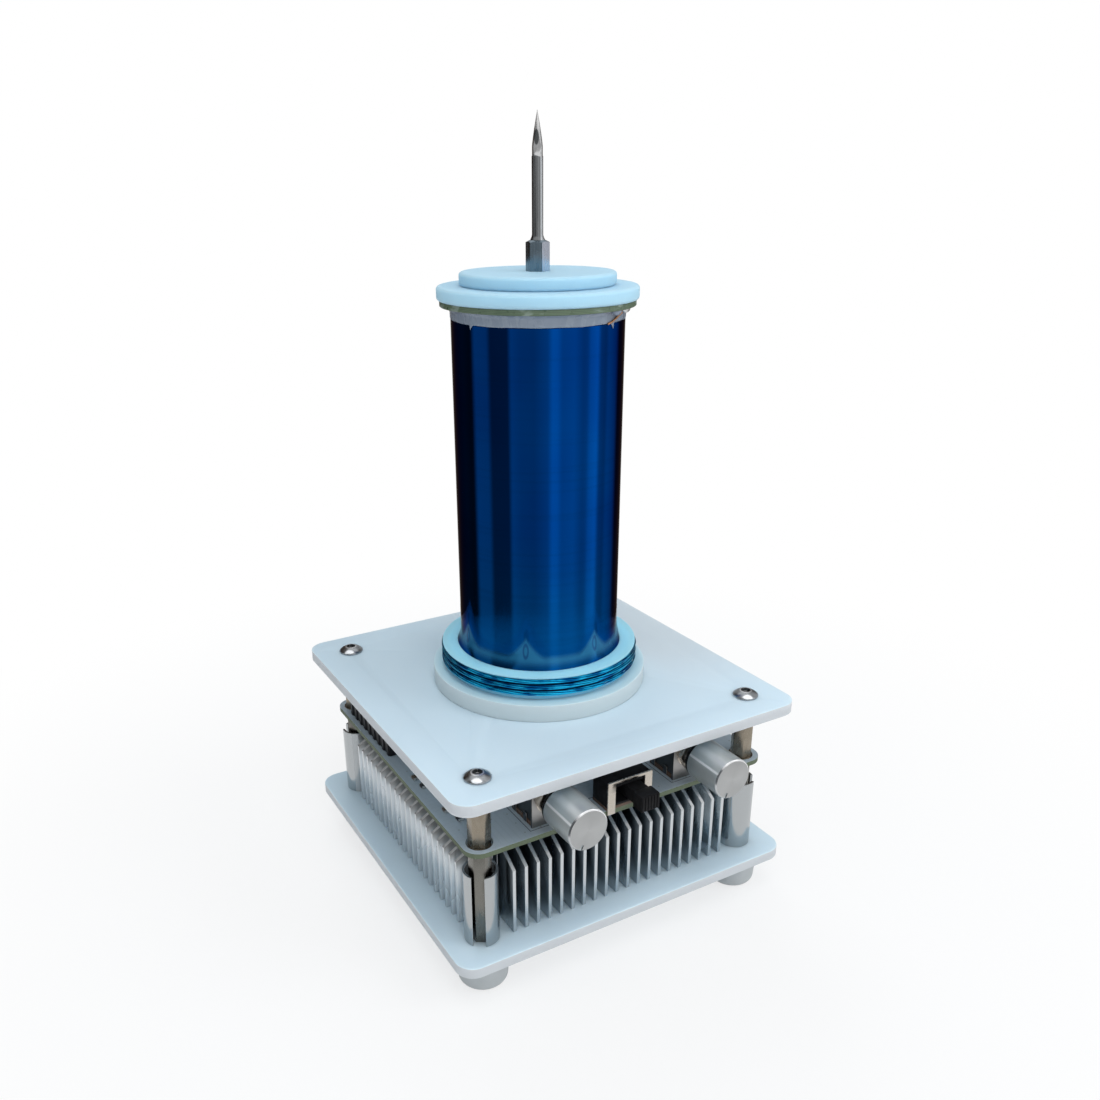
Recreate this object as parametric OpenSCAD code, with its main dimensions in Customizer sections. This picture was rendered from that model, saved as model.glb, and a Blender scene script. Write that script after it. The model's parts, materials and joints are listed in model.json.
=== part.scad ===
// Desktop resonant transformer: a finned heatsink and a circuit board between two acrylic
// plates, with a wound column, a three-turn primary and a needle electrode on top.
// Origin: centre of the plane that the feet stand on, under the column. +Z up, the knobs face -Y.

/* [Plates] */
// Side of the two square plates
plate_w = 120; // [100:1:144]
// Corner radius of the plates
plate_corner_r = 6; // [3:0.5:8]
// Thickness of the plates
plate_t = 3.6; // [3:0.1:5]
// Distance of the corner screws from the plates' edges
screw_inset = 12; // [10:0.5:13]

/* [Feet] */
// Height of a foot
foot_h = 11.4; // [9:0.2:14]
// Radius of a foot against the plate
foot_top_r = 8.3; // [7.5:0.1:9]
// Radius of a foot above its rounded rim
foot_low_r = 7.6; // [7:0.1:8.3]
// Radius of the rounded rim
foot_rim_r = 2.4; // [1:0.1:3]

/* [Corner posts] */
// Width of the hexagonal posts over their flats
post_af = 6; // [5:0.1:6.5]
// Room between the power transistors and the board
board_clear = 0.3; // [0.2:0.1:5]
// Room between the tallest part on the board and the upper plate
plate_clear = 2.3; // [0.5:0.1:12]
// Diameter of the screw threads
thread_d = 4; // [3:0.1:4.2]
// Diameter of the button heads on the upper plate
button_d = 8; // [7:0.1:9]
// Height of the button heads
button_h = 2.1; // [1.6:0.1:2.6]

/* [Heatsink] */
// Reach of the fins past the corner screws' line
sink_rim = 3.5; // [2:0.1:5]
// Height of the heatsink
sink_h = 26; // [18:0.5:40]
// Distance from fin to fin
fin_pitch = 4.08; // [3.4:0.02:6]
// Thickness of a fin
fin_t = 1.2; // [0.8:0.1:1.8]
// Height of the bevel on the fins' upper ends
fin_bevel_h = 4; // [2:0.2:6]
// Depth of that bevel
fin_bevel_d = 6.5; // [4:0.2:8]
// Thickness of the diagonal arms
arm_t = 4; // [3:0.1:6]
// Radius of the solid core
core_r = 16.5; // [16.2:0.1:20]
// Outer radius of the open corner tubes
port_r = 5.3; // [5.1:0.05:5.6]
// Wall of the corner tubes
port_wall = 0.8; // [0.6:0.05:1]
// Step down from the fins' top to the corner tubes' top
port_drop = 1.8; // [0.4:0.2:6]
// Width of the slot down each corner tube
port_slot_w = 3.8; // [2:0.1:5]

/* [Circuit board] */
// Reach of the circuit board past the corner screws' line
board_rim = 5.5; // [5:0.1:7]
// Corner radius of the board
board_corner_r = 5; // [3:0.5:6]
// Thickness of the board
board_t = 1.6; // [1.2:0.1:2]

/* [Controls] */
// Distance between the two knob axes
knob_pitch = 50.8; // [46:0.2:54]
// Height of the knob axes over the board
knob_axis_h = 9.1; // [8:0.1:9.6]
// Diameter of a knob
knob_d = 12.8; // [11:0.1:13.4]
// Length of a knob's metal shell
knob_l = 13.6; // [12:0.2:18]
// Width of a potentiometer
pot_w = 12; // [11:0.1:13]
// Depth of a potentiometer
pot_d = 12.5; // [11:0.1:15]
// Height of a potentiometer
pot_h = 15; // [14.6:0.1:16.6]
// Diameter of the potentiometer shaft
shaft_d = 6; // [5:0.1:6.2]
// Width of the slide switch frame
switch_w = 16; // [15:0.1:18]
// Height of the slide switch frame
switch_h = 11; // [10:0.1:14]
// Width of the sliding lever
lever_w = 6.4; // [5:0.1:7]
// Height of the sliding lever
lever_h = 5.1; // [4:0.1:5.6]
// Reach of the lever in front of the frame
lever_reach = 8; // [4:0.2:10]
// Travel of the lever
lever_travel = 3.5; // [2:0.1:3.8]

/* [Primary] */
// Reach of the disc under the primary past the column's tube
primary_disc_reach = 9.7; // [8.5:0.1:14]
// Thickness of that disc
primary_disc_t = 5.6; // [4:0.1:7]
// Reach of the primary ring's lip past the column's tube
ring_reach = 6.5; // [6.3:0.1:7]
// Height of the primary ring
ring_h = 7.7; // [7.5:0.1:10]
// Thickness of the lip over the winding
ring_lip_t = 0.4; // [0.3:0.05:0.8]
// Distance of the primary wire's centre from the column's tube
turn_reach = 6.2; // [6.1:0.05:6.6]
// Diameter of the primary wire
wire_d = 1.5; // [1.2:0.05:1.6]
// Turns of the primary
turns = 3; // [2:1:3]
// Rise from one turn to the next
turn_pitch = 2.05; // [2.02:0.01:2.2]

/* [Column] */
// Outer radius of the column's tube
tube_r = 25; // [20:0.1:32]
// Wall of the tube
tube_wall = 2; // [1.5:0.1:3]
// Thickness of the wound layer
wound_t = 0.37; // [0.2:0.01:0.5]
// Length of the wound layer
wound_l = 101.4; // [90:0.2:160]
// Bare tube between the wound layer and the top board
bare_l = 3.5; // [2:0.1:8]
// Height of the lacquer flare at the column's foot
flare_h = 12; // [6:0.5:20]
// Reach of the lacquer flare past the wound layer, on the ring
flare_reach = 1.2; // [0.6:0.1:2.4]

/* [Cap and electrode] */
// Reach of the round top board past the column's tube
top_board_reach = 3.4; // [2.6:0.1:4]
// Reach of the lower cap disc past the top board
cap_low_reach = 0.8; // [0.2:0.1:3]
// Thickness of the lower cap disc
cap_low_t = 3.9; // [3:0.1:5]
// Step in from the lower cap disc to the upper one
cap_step = 6.6; // [3:0.1:9]
// Thickness of the upper cap disc
cap_high_t = 3.7; // [3:0.1:5]
// Rounding of the cap discs' edges
cap_edge_r = 0.9; // [0.4:0.1:1.4]
// Width of the electrode holder over its flats
holder_af = 6; // [5.5:0.1:7]
// Height of the electrode holder
holder_h = 8.3; // [7:0.1:12]
// Diameter of the needle
needle_d = 3.2; // [2.6:0.1:3.6]
// Reach of the needle over its holder
needle_l = 33; // [26:0.5:45]

/* [Hidden] */

// Extra length of a tool past the face that it cuts
over = 0.5;
// Clearance between a thread and its hole, and between a glued piece and its seat
seat_gap = 0.05;
// Clearance of a screw or lead in a plain hole
hole_gap = 0.2;
// Radial running clearance of a turning shaft
run_gap = 0.05;
// Clearance of the sliding lever in its channel
slide_gap = 0.25;

// Parts whose heights set the stack
pad_t = 0.3;
case_t = 5;
pot_plate_t = 1;
can_h = 15;
regulator_h = 15;

// Heights of the stack
lower_post_l = sink_h + pad_t + case_t + board_clear;
upper_post_l = max(pot_h + pot_plate_t / 2, can_h, regulator_h) + plate_clear;
base_z = foot_h;
deck_z = base_z + plate_t;
board_z = deck_z + lower_post_l;
board_top_z = board_z + board_t;
top_plate_z = board_top_z + upper_post_l;
disc_z = top_plate_z + plate_t;
ring_z = disc_z + primary_disc_t;
ring_top_z = ring_z + ring_h;
wound_top_z = ring_top_z + wound_l;
top_board_z = wound_top_z + bare_l;
top_board_t = 1.6;
cap_low_z = top_board_z + top_board_t;
cap_high_z = cap_low_z + cap_low_t;
holder_z = cap_high_z + cap_high_t;
needle_z = holder_z + holder_h;

// Corner places, and the widths that follow them
screw_at = plate_w / 2 - screw_inset;
board_w = 2 * (screw_at + board_rim);
sink_w = 2 * (screw_at + sink_rim);
thread_r = thread_d / 2;
screw_hole_r = thread_r + hole_gap;

// Screws under the feet
foot_web_t = 5;
foot_recess_r = 4.4;
pan_r = 3.9;
pan_h = 2.6;
post_bite = 6;
post_turn = 30;
cross_w = 0.9;
cross_l = 4.4;
cross_depth = 1.4;
stud_l = 5;
stud_bite = 2;

// Hexagon key socket in the button heads
key_af = 2.5;
key_depth = 1.3;
button_rim_h = 0.5;

// Potentiometers
pot_edge = 3.5;
pot_front_y = -(board_w / 2 - pot_edge);
bush_r = 3.5;
bush_l = 4.5;
nut_af = 10;
nut_t = 2;
washer_r = 5.4;
washer_t = 0.5;
shaft_hole_depth = 7;
knob_clear = 0.5;
core_flange_t = 1.2;
knob_wall = 1;
knob_end_t = 1.3;
knob_edge = 0.4;
core_end_gap = 0.4;
shaft_end_gap = 1.5;
mark_w = 0.8;
mark_depth = 0.35;
mark_l = 1.8;
// Turn of the knob's mark from straight up, seen from the front, at the low end of its travel
mark_turn = 204;
pin_r = 0.45;
pin_pitch = 4;
pin_below = 1.2;
pin_inset = 3;

// Slide switch
switch_x = -0.3;
frame_t = 0.6;
frame_leg_w = 2.75;
frame_bar_h = 0.9;
frame_drop = 1.3;
frame_lean = 0.1;
switch_depth = 7.6;
switch_base_t = 1;
lever_channel_back = 2.6;
frame_z = board_top_z - frame_drop;
frame_y = -(board_w / 2 + frame_lean + frame_t);
slot_w = switch_w - 2 * frame_leg_w;
lever_lift = 1;
lever_z = board_top_z + switch_base_t + lever_lift;

// Parts on the board, behind the controls
side_sink_l = 35;
side_sink_h = 12.5;
side_sink_d = 8;
side_sink_web = 2;
side_sink_pitch = 4;
side_sink_fin_t = 1.6;
side_sink_edge = 1.6;
side_sink_gap = 1.5;
side_sink_y = screw_at - post_af / sqrt(3) - side_sink_gap - side_sink_l / 2;
regulator_w = 10;
regulator_t = 4.5;
regulator_tab_t = 1.3;
regulator_lead_l = 3;
regulator_case_h = 6;
can_r = 6.25;
can_edge = 0.6;
can_groove = 0.35;
can_groove_z = 2.2;
can_groove_h = 0.5;
can_gap = 1.2;
can_x = -board_w / 2 + side_sink_edge + side_sink_d + regulator_t + can_gap + can_r;
can_inset = 17.5;
can_y = board_w / 2 - can_inset;
film_l = 13;
film_w = 6;
film_h = 11;
film_place_shares = [[0.28, 0.02], [0.38, 0.02]];
chip_l = 9.6;
chip_w = 6.4;
chip_h = 3.4;
chip_leg_w = 0.6;
chip_leg_pitch = 2.54;
chip_lift = 0.6;
chip_notch_depth = 0.6;
chip_place_shares = [[-0.26, -0.06], [-0.1, 0.1], [0.06, 0.1]];
jack_w = 9;
jack_l = 14;
jack_h = 11;
jack_x = 22;
jack_r = 3.15;
jack_depth = 9.5;
jack_pin_r = 1;
jack_pin_back = 2;
jack_proud = 1;
jack_axis_h = 6.5;
audio_w = 7;
audio_l = 12;
audio_h = 6;
audio_x = -8;
audio_r = 1.8;
audio_nose_r = 3;
audio_nose_l = 2.2;
audio_depth = 11;
small_part_h = 0.9;
small_part_w = 1.8;
small_part_l = 2.8;
small_part_place_shares = [
    [-0.467, -0.075], [-0.464, -0.127], [-0.461, -0.271], [-0.447, -0.327], [-0.36, -0.19],
    [-0.36, -0.05], [0.19, -0.26], [0.11, -0.3], [0.34, -0.22], [0.4, 0.2]
];

// Power transistors between the core and the board
case_w = 15.9;
case_l = 20.9;
case_bevel = 1;
case_gap = 0.2;
case_hole_r = 1.8;
lead_w = 1.2;
lead_t = 0.6;
lead_pitch = 5.45;
lead_reach = 4;

// Heatsink
port_bore_r = port_r - port_wall;
port_slot_turn = 9;
port_h = sink_h - port_drop;
fin_row = floor((screw_at - port_r - fin_t - seat_gap) / fin_pitch + 0.5);

// Primary
primary_disc_r = tube_r + primary_disc_reach;
ring_r = tube_r + ring_reach;
turn_r = tube_r + turn_reach;
wire_r = wire_d / 2;
rings_per_turn = 24;
wire_sides = 6;
groove_r = turn_r * cos(180 / rings_per_turn) - wire_r - seat_gap;
groove_top_z = ring_top_z - ring_lip_t;
turn_z = groove_top_z - seat_gap - wire_r - (turns - 1) * turn_pitch;
climb_half = 20;
end_turn = 26;
bend_r = 1.8;
bend_turn = asin(bend_r / (turn_r - bend_r));
pocket_r = (turn_r - bend_r) * cos(bend_turn) - wire_d;
ring_skip_share = 0.3;
lead_r = pocket_r - wire_r;
pocket_gap = 0.3;

// Column
winding_r = tube_r + wound_t;
flare_r = winding_r + flare_reach;
top_board_r = tube_r + top_board_reach;
cap_low_r = top_board_r + cap_low_reach;
cap_high_r = cap_low_r - cap_step;
flare_bow_share = 0.33;
flare_foot_share = 0.08;
flare_mid_share = 0.4;
inner_lead_r = 0.5;
inner_lead_at = tube_r - tube_wall - inner_lead_r;
inner_lead_h = 6;
top_lead_turn = -56;
top_lead_r = 0.35;
top_lead_dip = 0.6;
solder_r = 1.6;
solder_at = (winding_r + top_board_r) / 2;

// Electrode
holder_bevel = 0.6;
holder_turn = 21.6;
holder_nut_af = holder_af + 1;
needle_root_flare = 0.5;
needle_root_r = needle_d / 2 + needle_root_flare;
needle_root_h = 1.4;
needle_step = 0.12;
needle_tip_share = 0.345;
needle_point_share = 0.265;
needle_flat_share = 0.62;
needle_flat_turn = -120;
needle_flat_top_share = 0.9;
needle_flat_low_share = 0.4;
ogive_height_shares = [0.2, 0.5, 0.8];
ogive_radius_shares = [0.88, 0.57, 0.25];
needle_bite = 5;
nut_h = 3;
stud_end = 1;
holder_stud_l = cap_high_t + cap_low_t + top_board_t + nut_h + stud_end;

// Shapes that several pieces share

// A square plate with rounded corners, standing on z = 0
module rounded_plate(w, r, t) {
    linear_extrude(t) {
        square([w - 2 * r, w], center = true);
        square([w, w - 2 * r], center = true);
        for (sx = [-1, 1], sy = [-1, 1])
            translate([sx * (w / 2 - r), sy * (w / 2 - r)]) circle(r, $fn = 48);
    }
}

// The same child at each of the four corner screws
module at_corners() {
    for (q = [0:3])
        rotate(90 * q) translate([-screw_at, -screw_at, 0]) children();
}

// A hexagonal bar given by its width over the flats
module hex_bar(af, h) {
    cylinder(r = af / sqrt(3), h = h, $fn = 6);
}

// A round disc whose two edges are rounded
module soft_disc(r, t, e) {
    rotate_extrude($fn = 128) {
        square([r - e, t]);
        translate([0, e]) square([r, t - 2 * e]);
        for (z = [e, t - e])
            translate([r - e, z]) circle(e, $fn = 32);
    }
}

// A round ring between two radii
module ring(outer, inner, h) {
    difference() {
        cylinder(r = outer, h = h, $fn = 128);
        translate([0, 0, -over]) cylinder(r = inner, h = h + 2 * over, $fn = 128);
    }
}

// A box centred in x and y that stands on z = 0
module block(size) {
    translate([-size[0] / 2, -size[1] / 2, 0]) cube(size);
}

// Feet and lower plate

module foot_profile() {
    polygon([[0, 0], [foot_low_r - foot_rim_r, 0], [foot_low_r, foot_rim_r],
             [foot_top_r, foot_h], [0, foot_h]]);
    intersection() {
        translate([foot_low_r - foot_rim_r, foot_rim_r]) circle(foot_rim_r, $fn = 48);
        square([foot_low_r, foot_rim_r]);
    }
}

module rubber_feet() {
    color("white") at_corners() difference() {
        rotate_extrude($fn = 96) foot_profile();
        translate([0, 0, -over]) cylinder(r = screw_hole_r, h = foot_h + 2 * over, $fn = 48);
        translate([0, 0, -over]) cylinder(r = foot_recess_r, h = foot_h - foot_web_t + over, $fn = 48);
    }
}

module foot_screws() {
    head_z = foot_h - foot_web_t;
    color("silver") at_corners() difference() {
        union() {
            translate([0, 0, head_z - pan_h]) cylinder(r = pan_r, h = pan_h, $fn = 48);
            translate([0, 0, head_z]) cylinder(r = thread_r, h = foot_web_t + plate_t + post_bite, $fn = 48);
        }
        for (turn = [0, 90])
            rotate(turn) translate([0, 0, head_z - pan_h - over])
                block([cross_l, cross_w, cross_depth + over]);
    }
}

module base_plate() {
    color("white") translate([0, 0, base_z]) difference() {
        rounded_plate(plate_w, plate_corner_r, plate_t);
        at_corners() translate([0, 0, -over]) cylinder(r = screw_hole_r, h = plate_t + 2 * over, $fn = 48);
    }
}

// Heatsink: one extrusion with a round core, four diagonal arms, a row of fins on each side
// and an open tube at each corner for the posts

module sink_outline() {
    circle(core_r, $fn = 96);
    for (q = [0:3]) {
        rotate(45 + 90 * q) translate([0, -arm_t / 2]) square([screw_at * sqrt(2), arm_t]);
        rotate(90 * q) for (i = [0:fin_row - 1], side = [-1, 1]) {
            fin_x = (i + 0.5) * fin_pitch;
            translate([side * fin_x - fin_t / 2, -sink_w / 2]) square([fin_t, sink_w / 2 - fin_x]);
        }
    }
}

module fin_bevels() {
    for (q = [0:3])
        rotate(90 * q) translate([-sink_w, -sink_w / 2, 0]) rotate([90, 0, 90])
            linear_extrude(2 * sink_w)
                polygon([[-over, sink_h - fin_bevel_h - over * fin_bevel_h / fin_bevel_d],
                         [fin_bevel_d + over, sink_h + over * fin_bevel_h / fin_bevel_d],
                         [fin_bevel_d + over, sink_h + 2 * over],
                         [-over, sink_h + 2 * over]]);
}

module heatsink() {
    color("silver") translate([0, 0, deck_z]) difference() {
        union() {
            difference() {
                linear_extrude(sink_h) sink_outline();
                fin_bevels();
                at_corners() translate([0, 0, port_h]) cylinder(r = port_r + over, h = sink_h, $fn = 64);
            }
            at_corners() cylinder(r = port_r, h = port_h, $fn = 64);
        }
        at_corners() {
            translate([0, 0, -over]) cylinder(r = port_bore_r, h = port_h + 2 * over, $fn = 64);
            rotate(225 + port_slot_turn) translate([0, -port_slot_w / 2, -over])
                cube([port_r + over, port_slot_w, port_h + 2 * over]);
        }
    }
}

// Corner posts

module lower_posts() {
    color("wheat") at_corners() difference() {
        union() {
            translate([0, 0, deck_z]) rotate(post_turn) hex_bar(post_af, lower_post_l);
            translate([0, 0, board_z - stud_bite])
                cylinder(r = thread_r, h = stud_bite + board_t + stud_l, $fn = 48);
        }
        translate([0, 0, deck_z - over])
            cylinder(r = thread_r + seat_gap, h = post_bite + 2 * over, $fn = 48);
    }
}

module upper_posts() {
    color("wheat") translate([0, 0, board_top_z]) at_corners() difference() {
        rotate(post_turn) hex_bar(post_af, upper_post_l);
        translate([0, 0, -over])
            cylinder(r = thread_r + seat_gap, h = upper_post_l + 2 * over, $fn = 48);
    }
}

// Power transistors, clamped between the heatsink's core and the board

module at_transistors() {
    for (side = [-1, 1])
        translate([side * (case_w + case_gap) / 2, 0, 0]) children();
}

module thermal_pads() {
    color("lightgray") translate([0, 0, deck_z + sink_h]) at_transistors() block([case_w, case_l, pad_t]);
}

module transistor() {
    room = board_z - (deck_z + sink_h + pad_t);
    difference() {
        block([case_w, case_l, case_t]);
        translate([0, case_l / 4, -over]) cylinder(r = case_hole_r, h = case_t + 2 * over, $fn = 32);
        translate([-case_w, case_l / 2 + case_bevel, case_t]) rotate([135, 0, 0])
            cube([2 * case_w, 2 * case_bevel, 2 * case_bevel]);
    }
    for (i = [-1:1])
        translate([i * lead_pitch, -case_l / 2, 0]) {
            translate([-lead_w / 2, -lead_reach, case_t / 2]) cube([lead_w, lead_reach + over, lead_t]);
            translate([-lead_w / 2, -lead_reach, case_t / 2])
                cube([lead_w, lead_t, room - case_t / 2 + board_t + pin_below]);
        }
}

module power_transistors() {
    color("dimgray") translate([0, 0, deck_z + sink_h + pad_t]) at_transistors() transistor();
}

module transistor_lead_holes() {
    at_transistors() for (i = [-1:1])
        translate([i * lead_pitch, -case_l / 2 - lead_reach + lead_t / 2, -over])
            cylinder(r = lead_w / 2 + hole_gap, h = board_t + 2 * over, $fn = 24);
}

// Circuit board

module circuit_board() {
    color("honeydew") translate([0, 0, board_z]) difference() {
        rounded_plate(board_w, board_corner_r, board_t);
        at_corners() translate([0, 0, -over]) cylinder(r = screw_hole_r, h = board_t + 2 * over, $fn = 48);
        transistor_lead_holes();
        for (side = [-1, 1]) pot_pin_places(side) translate([0, 0, -over])
            cylinder(r = pin_r + hole_gap, h = board_t + 2 * over, $fn = 24);
    }
}

// Potentiometers and knobs; each is drawn at its own side of the switch

module pot_axis(side) {
    translate([side * knob_pitch / 2, pot_front_y, board_top_z + knob_axis_h]) rotate([90, 0, 0]) children();
}

module pot_pin_places(side) {
    for (i = [-1:1])
        translate([side * knob_pitch / 2 + i * pin_pitch, pot_front_y + pin_inset, 0]) children();
}

module pot(side) {
    color("darkgray") difference() {
        union() {
            translate([side * knob_pitch / 2, pot_front_y + pot_d / 2, board_top_z])
                block([pot_w, pot_d, pot_h]);
            translate([side * knob_pitch / 2, pot_front_y + pot_plate_t / 2, board_top_z])
                block([pot_w + pot_plate_t, pot_plate_t, pot_h + pot_plate_t / 2]);
            pot_axis(side) cylinder(r = bush_r, h = bush_l, $fn = 48);
            pot_pin_places(side) translate([0, 0, board_z - pin_below])
                cylinder(r = pin_r, h = board_t + pin_below + over, $fn = 24);
        }
        pot_axis(side) translate([0, 0, -shaft_hole_depth])
            cylinder(r = shaft_d / 2 + run_gap, h = shaft_hole_depth + bush_l + over, $fn = 48);
    }
}

module pot_nut(side) {
    color("silver") pot_axis(side) difference() {
        union() {
            cylinder(r = washer_r, h = washer_t, $fn = 48);
            translate([0, 0, washer_t]) hex_bar(nut_af, nut_t);
        }
        translate([0, 0, -over]) cylinder(r = bush_r + seat_gap, h = washer_t + nut_t + 2 * over, $fn = 48);
    }
}

module pot_shaft(side) {
    shaft_l = bush_l + knob_clear + core_flange_t + knob_l - knob_end_t - core_end_gap - shaft_end_gap;
    color("silver") pot_axis(side) translate([0, 0, -(shaft_hole_depth - knob_clear)])
        cylinder(r = shaft_d / 2, h = shaft_hole_depth - knob_clear + shaft_l, $fn = 48);
}

module knob_core(side) {
    core_l = knob_l - knob_end_t - core_end_gap;
    color("black") pot_axis(side) translate([0, 0, bush_l + knob_clear]) difference() {
        union() {
            cylinder(r = knob_d / 2 - knob_edge / 2, h = core_flange_t, $fn = 64);
            cylinder(r = knob_d / 2 - knob_wall - seat_gap, h = core_flange_t + core_l, $fn = 64);
        }
        translate([0, 0, -over])
            cylinder(r = shaft_d / 2 + seat_gap, h = core_flange_t + core_l - shaft_end_gap + 2 * over,
                     $fn = 48);
    }
}

module knob(side) {
    inner_r = knob_d / 2 - knob_wall;
    color("gainsboro") pot_axis(side) translate([0, 0, bush_l + knob_clear + core_flange_t]) difference() {
        rotate_extrude($fn = 96)
            polygon([[inner_r, 0], [knob_d / 2, 0], [knob_d / 2, knob_l - knob_edge],
                     [knob_d / 2 - knob_edge, knob_l], [0, knob_l], [0, knob_l - knob_end_t],
                     [inner_r, knob_l - knob_end_t]]);
        rotate(-mark_turn) translate([-mark_w / 2, knob_d / 2 - mark_l, knob_l - mark_depth])
            cube([mark_w, mark_l + over, mark_depth + over]);
    }
}

module left_pot() { pot(-1); }
module left_pot_nut() { pot_nut(-1); }
module left_shaft() { pot_shaft(-1); }
module left_knob_core() { knob_core(-1); }
module left_knob() { knob(-1); }
module right_pot() { pot(1); }
module right_pot_nut() { pot_nut(1); }
module right_shaft() { pot_shaft(1); }
module right_knob_core() { knob_core(1); }
module right_knob() { knob(1); }

// Slide switch: a plain metal frame over the board's edge, a black body with a channel, a
// phenolic base and the lever, which rests at the right end of its travel

module switch_frame() {
    color("tan") translate([switch_x, frame_y, frame_z]) difference() {
        translate([-switch_w / 2, 0, 0]) cube([switch_w, frame_t, switch_h]);
        translate([-slot_w / 2, -over, -over])
            cube([slot_w, frame_t + 2 * over, switch_h - frame_bar_h + over]);
    }
}

module switch_body() {
    body_h = frame_z + switch_h - board_top_z - switch_base_t - frame_t;
    channel_d = switch_depth - lever_channel_back;
    color("black") translate([switch_x, frame_y + frame_t, board_top_z + switch_base_t]) difference() {
        translate([-switch_w / 2, 0, 0]) cube([switch_w, switch_depth, body_h]);
        translate([-slot_w / 2, -over, lever_z - board_top_z - switch_base_t - slide_gap])
            cube([slot_w, channel_d + over, lever_h + 2 * slide_gap]);
    }
}

module switch_base() {
    color("peru") translate([switch_x - switch_w / 2, frame_y + frame_t, board_top_z])
        cube([switch_w, switch_depth, switch_base_t]);
}

module switch_lever() {
    right_edge = switch_x + slot_w / 2 - (slot_w - lever_w - lever_travel) / 2;
    channel_d = switch_depth - lever_channel_back;
    color("black") translate([right_edge - lever_w, frame_y - lever_reach, lever_z])
        cube([lever_w, lever_reach + frame_t + channel_d - slide_gap, lever_h]);
}

// Parts on the board behind the controls

module side_heatsink() {
    x0 = -board_w / 2 + side_sink_edge;
    count = floor((side_sink_l - side_sink_fin_t) / side_sink_pitch);
    span = count * side_sink_pitch;
    color("black") translate([x0, side_sink_y - side_sink_l / 2, board_top_z]) {
        translate([side_sink_d - side_sink_web, 0, 0]) cube([side_sink_web, side_sink_l, side_sink_h]);
        for (i = [0:count])
            translate([0, (side_sink_l - span - side_sink_fin_t) / 2 + i * side_sink_pitch, 0])
                cube([side_sink_d - side_sink_web / 2, side_sink_fin_t, side_sink_h]);
    }
}

module regulators() {
    x0 = -board_w / 2 + side_sink_edge + side_sink_d;
    for (side = [-1, 1])
        translate([x0, side_sink_y + side * side_sink_l / 4, board_top_z]) {
            color("silver") translate([0, -regulator_w / 2, regulator_lead_l])
                cube([regulator_tab_t, regulator_w, regulator_h - regulator_lead_l]);
            color("dimgray") translate([regulator_tab_t, -regulator_w / 2, regulator_lead_l])
                cube([regulator_t - regulator_tab_t, regulator_w, regulator_case_h]);
            for (i = [-1:1])
                color("silver") translate([regulator_t / 2, i * chip_leg_pitch - chip_leg_w / 2, 0])
                    cube([chip_leg_w, chip_leg_w, regulator_lead_l + over]);
        }
}

module can_capacitor() {
    rotate_extrude($fn = 64)
        polygon([[0, 0], [can_r - can_edge, 0], [can_r, can_edge], [can_r, can_groove_z - can_groove_h],
                 [can_r - can_groove, can_groove_z], [can_r, can_groove_z + can_groove_h],
                 [can_r, can_h - can_edge], [can_r - can_edge, can_h], [0, can_h]]);
}

module storage_capacitors() {
    color("midnightblue") for (i = [0, 1])
        translate([can_x, can_y - i * (2 * can_r + can_gap), board_top_z]) can_capacitor();
}

module film_capacitors() {
    color("firebrick") for (p = film_place_shares)
        translate([p[0] * board_w, p[1] * board_w, board_top_z]) block([film_w, film_l, film_h]);
}

module chip(pairs) {
    difference() {
        translate([0, 0, chip_lift]) block([chip_w, pairs * chip_leg_pitch, chip_h]);
        translate([0, pairs * chip_leg_pitch / 2, chip_lift + chip_h - chip_notch_depth])
            cylinder(r = chip_leg_w, h = chip_notch_depth + over, $fn = 24);
    }
    for (side = [-1, 1], i = [0:pairs - 1])
        translate([side * (chip_w / 2 + chip_leg_w / 2), (i - (pairs - 1) / 2) * chip_leg_pitch, 0])
            block([chip_leg_w, chip_leg_w, chip_lift + chip_h / 2]);
}

module driver_chips() {
    color("dimgray") for (i = [0:2])
        translate([chip_place_shares[i][0] * board_w, chip_place_shares[i][1] * board_w, board_top_z])
            chip(i == 0 ? 7 : 4);
}

module power_jack() {
    color("black") translate([jack_x, board_w / 2 + jack_proud, board_top_z]) difference() {
        translate([-jack_w / 2, -jack_l, 0]) cube([jack_w, jack_l, jack_h]);
        translate([0, over, jack_axis_h]) rotate([90, 0, 0])
            cylinder(r = jack_r, h = jack_depth + over, $fn = 48);
    }
}

module power_jack_pin() {
    color("silver") translate([jack_x, board_w / 2 + jack_proud - jack_depth, board_top_z + jack_axis_h])
        rotate([-90, 0, 0]) cylinder(r = jack_pin_r, h = jack_depth - jack_pin_back, $fn = 32);
}

module audio_jack() {
    color("black") translate([audio_x, board_w / 2, board_top_z]) difference() {
        union() {
            translate([-audio_w / 2, -audio_l, 0]) cube([audio_w, audio_l, audio_h]);
            translate([0, 0, audio_h / 2]) rotate([-90, 0, 0])
                cylinder(r = audio_nose_r - hole_gap, h = audio_nose_l, $fn = 48);
        }
        translate([0, audio_nose_l + over, audio_h / 2]) rotate([90, 0, 0])
            cylinder(r = audio_r, h = audio_depth + over, $fn = 48);
    }
}

// Small soldered parts that show under the upper plate's left edge, and their like
module surface_parts() {
    color("dimgray") for (p = small_part_place_shares)
        translate([p[0] * board_w, p[1] * board_w, board_top_z])
            block([small_part_w, small_part_l, small_part_h]);
}

// Upper plate

module top_plate() {
    color("white") translate([0, 0, top_plate_z]) difference() {
        rounded_plate(plate_w, plate_corner_r, plate_t);
        at_corners() translate([0, 0, -over]) cylinder(r = screw_hole_r, h = plate_t + 2 * over, $fn = 48);
        lead_holes(-over, plate_t + 2 * over);
        translate([0, inner_lead_at, -over])
            cylinder(r = inner_lead_r + hole_gap, h = plate_t + 2 * over, $fn = 24);
    }
}

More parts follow.
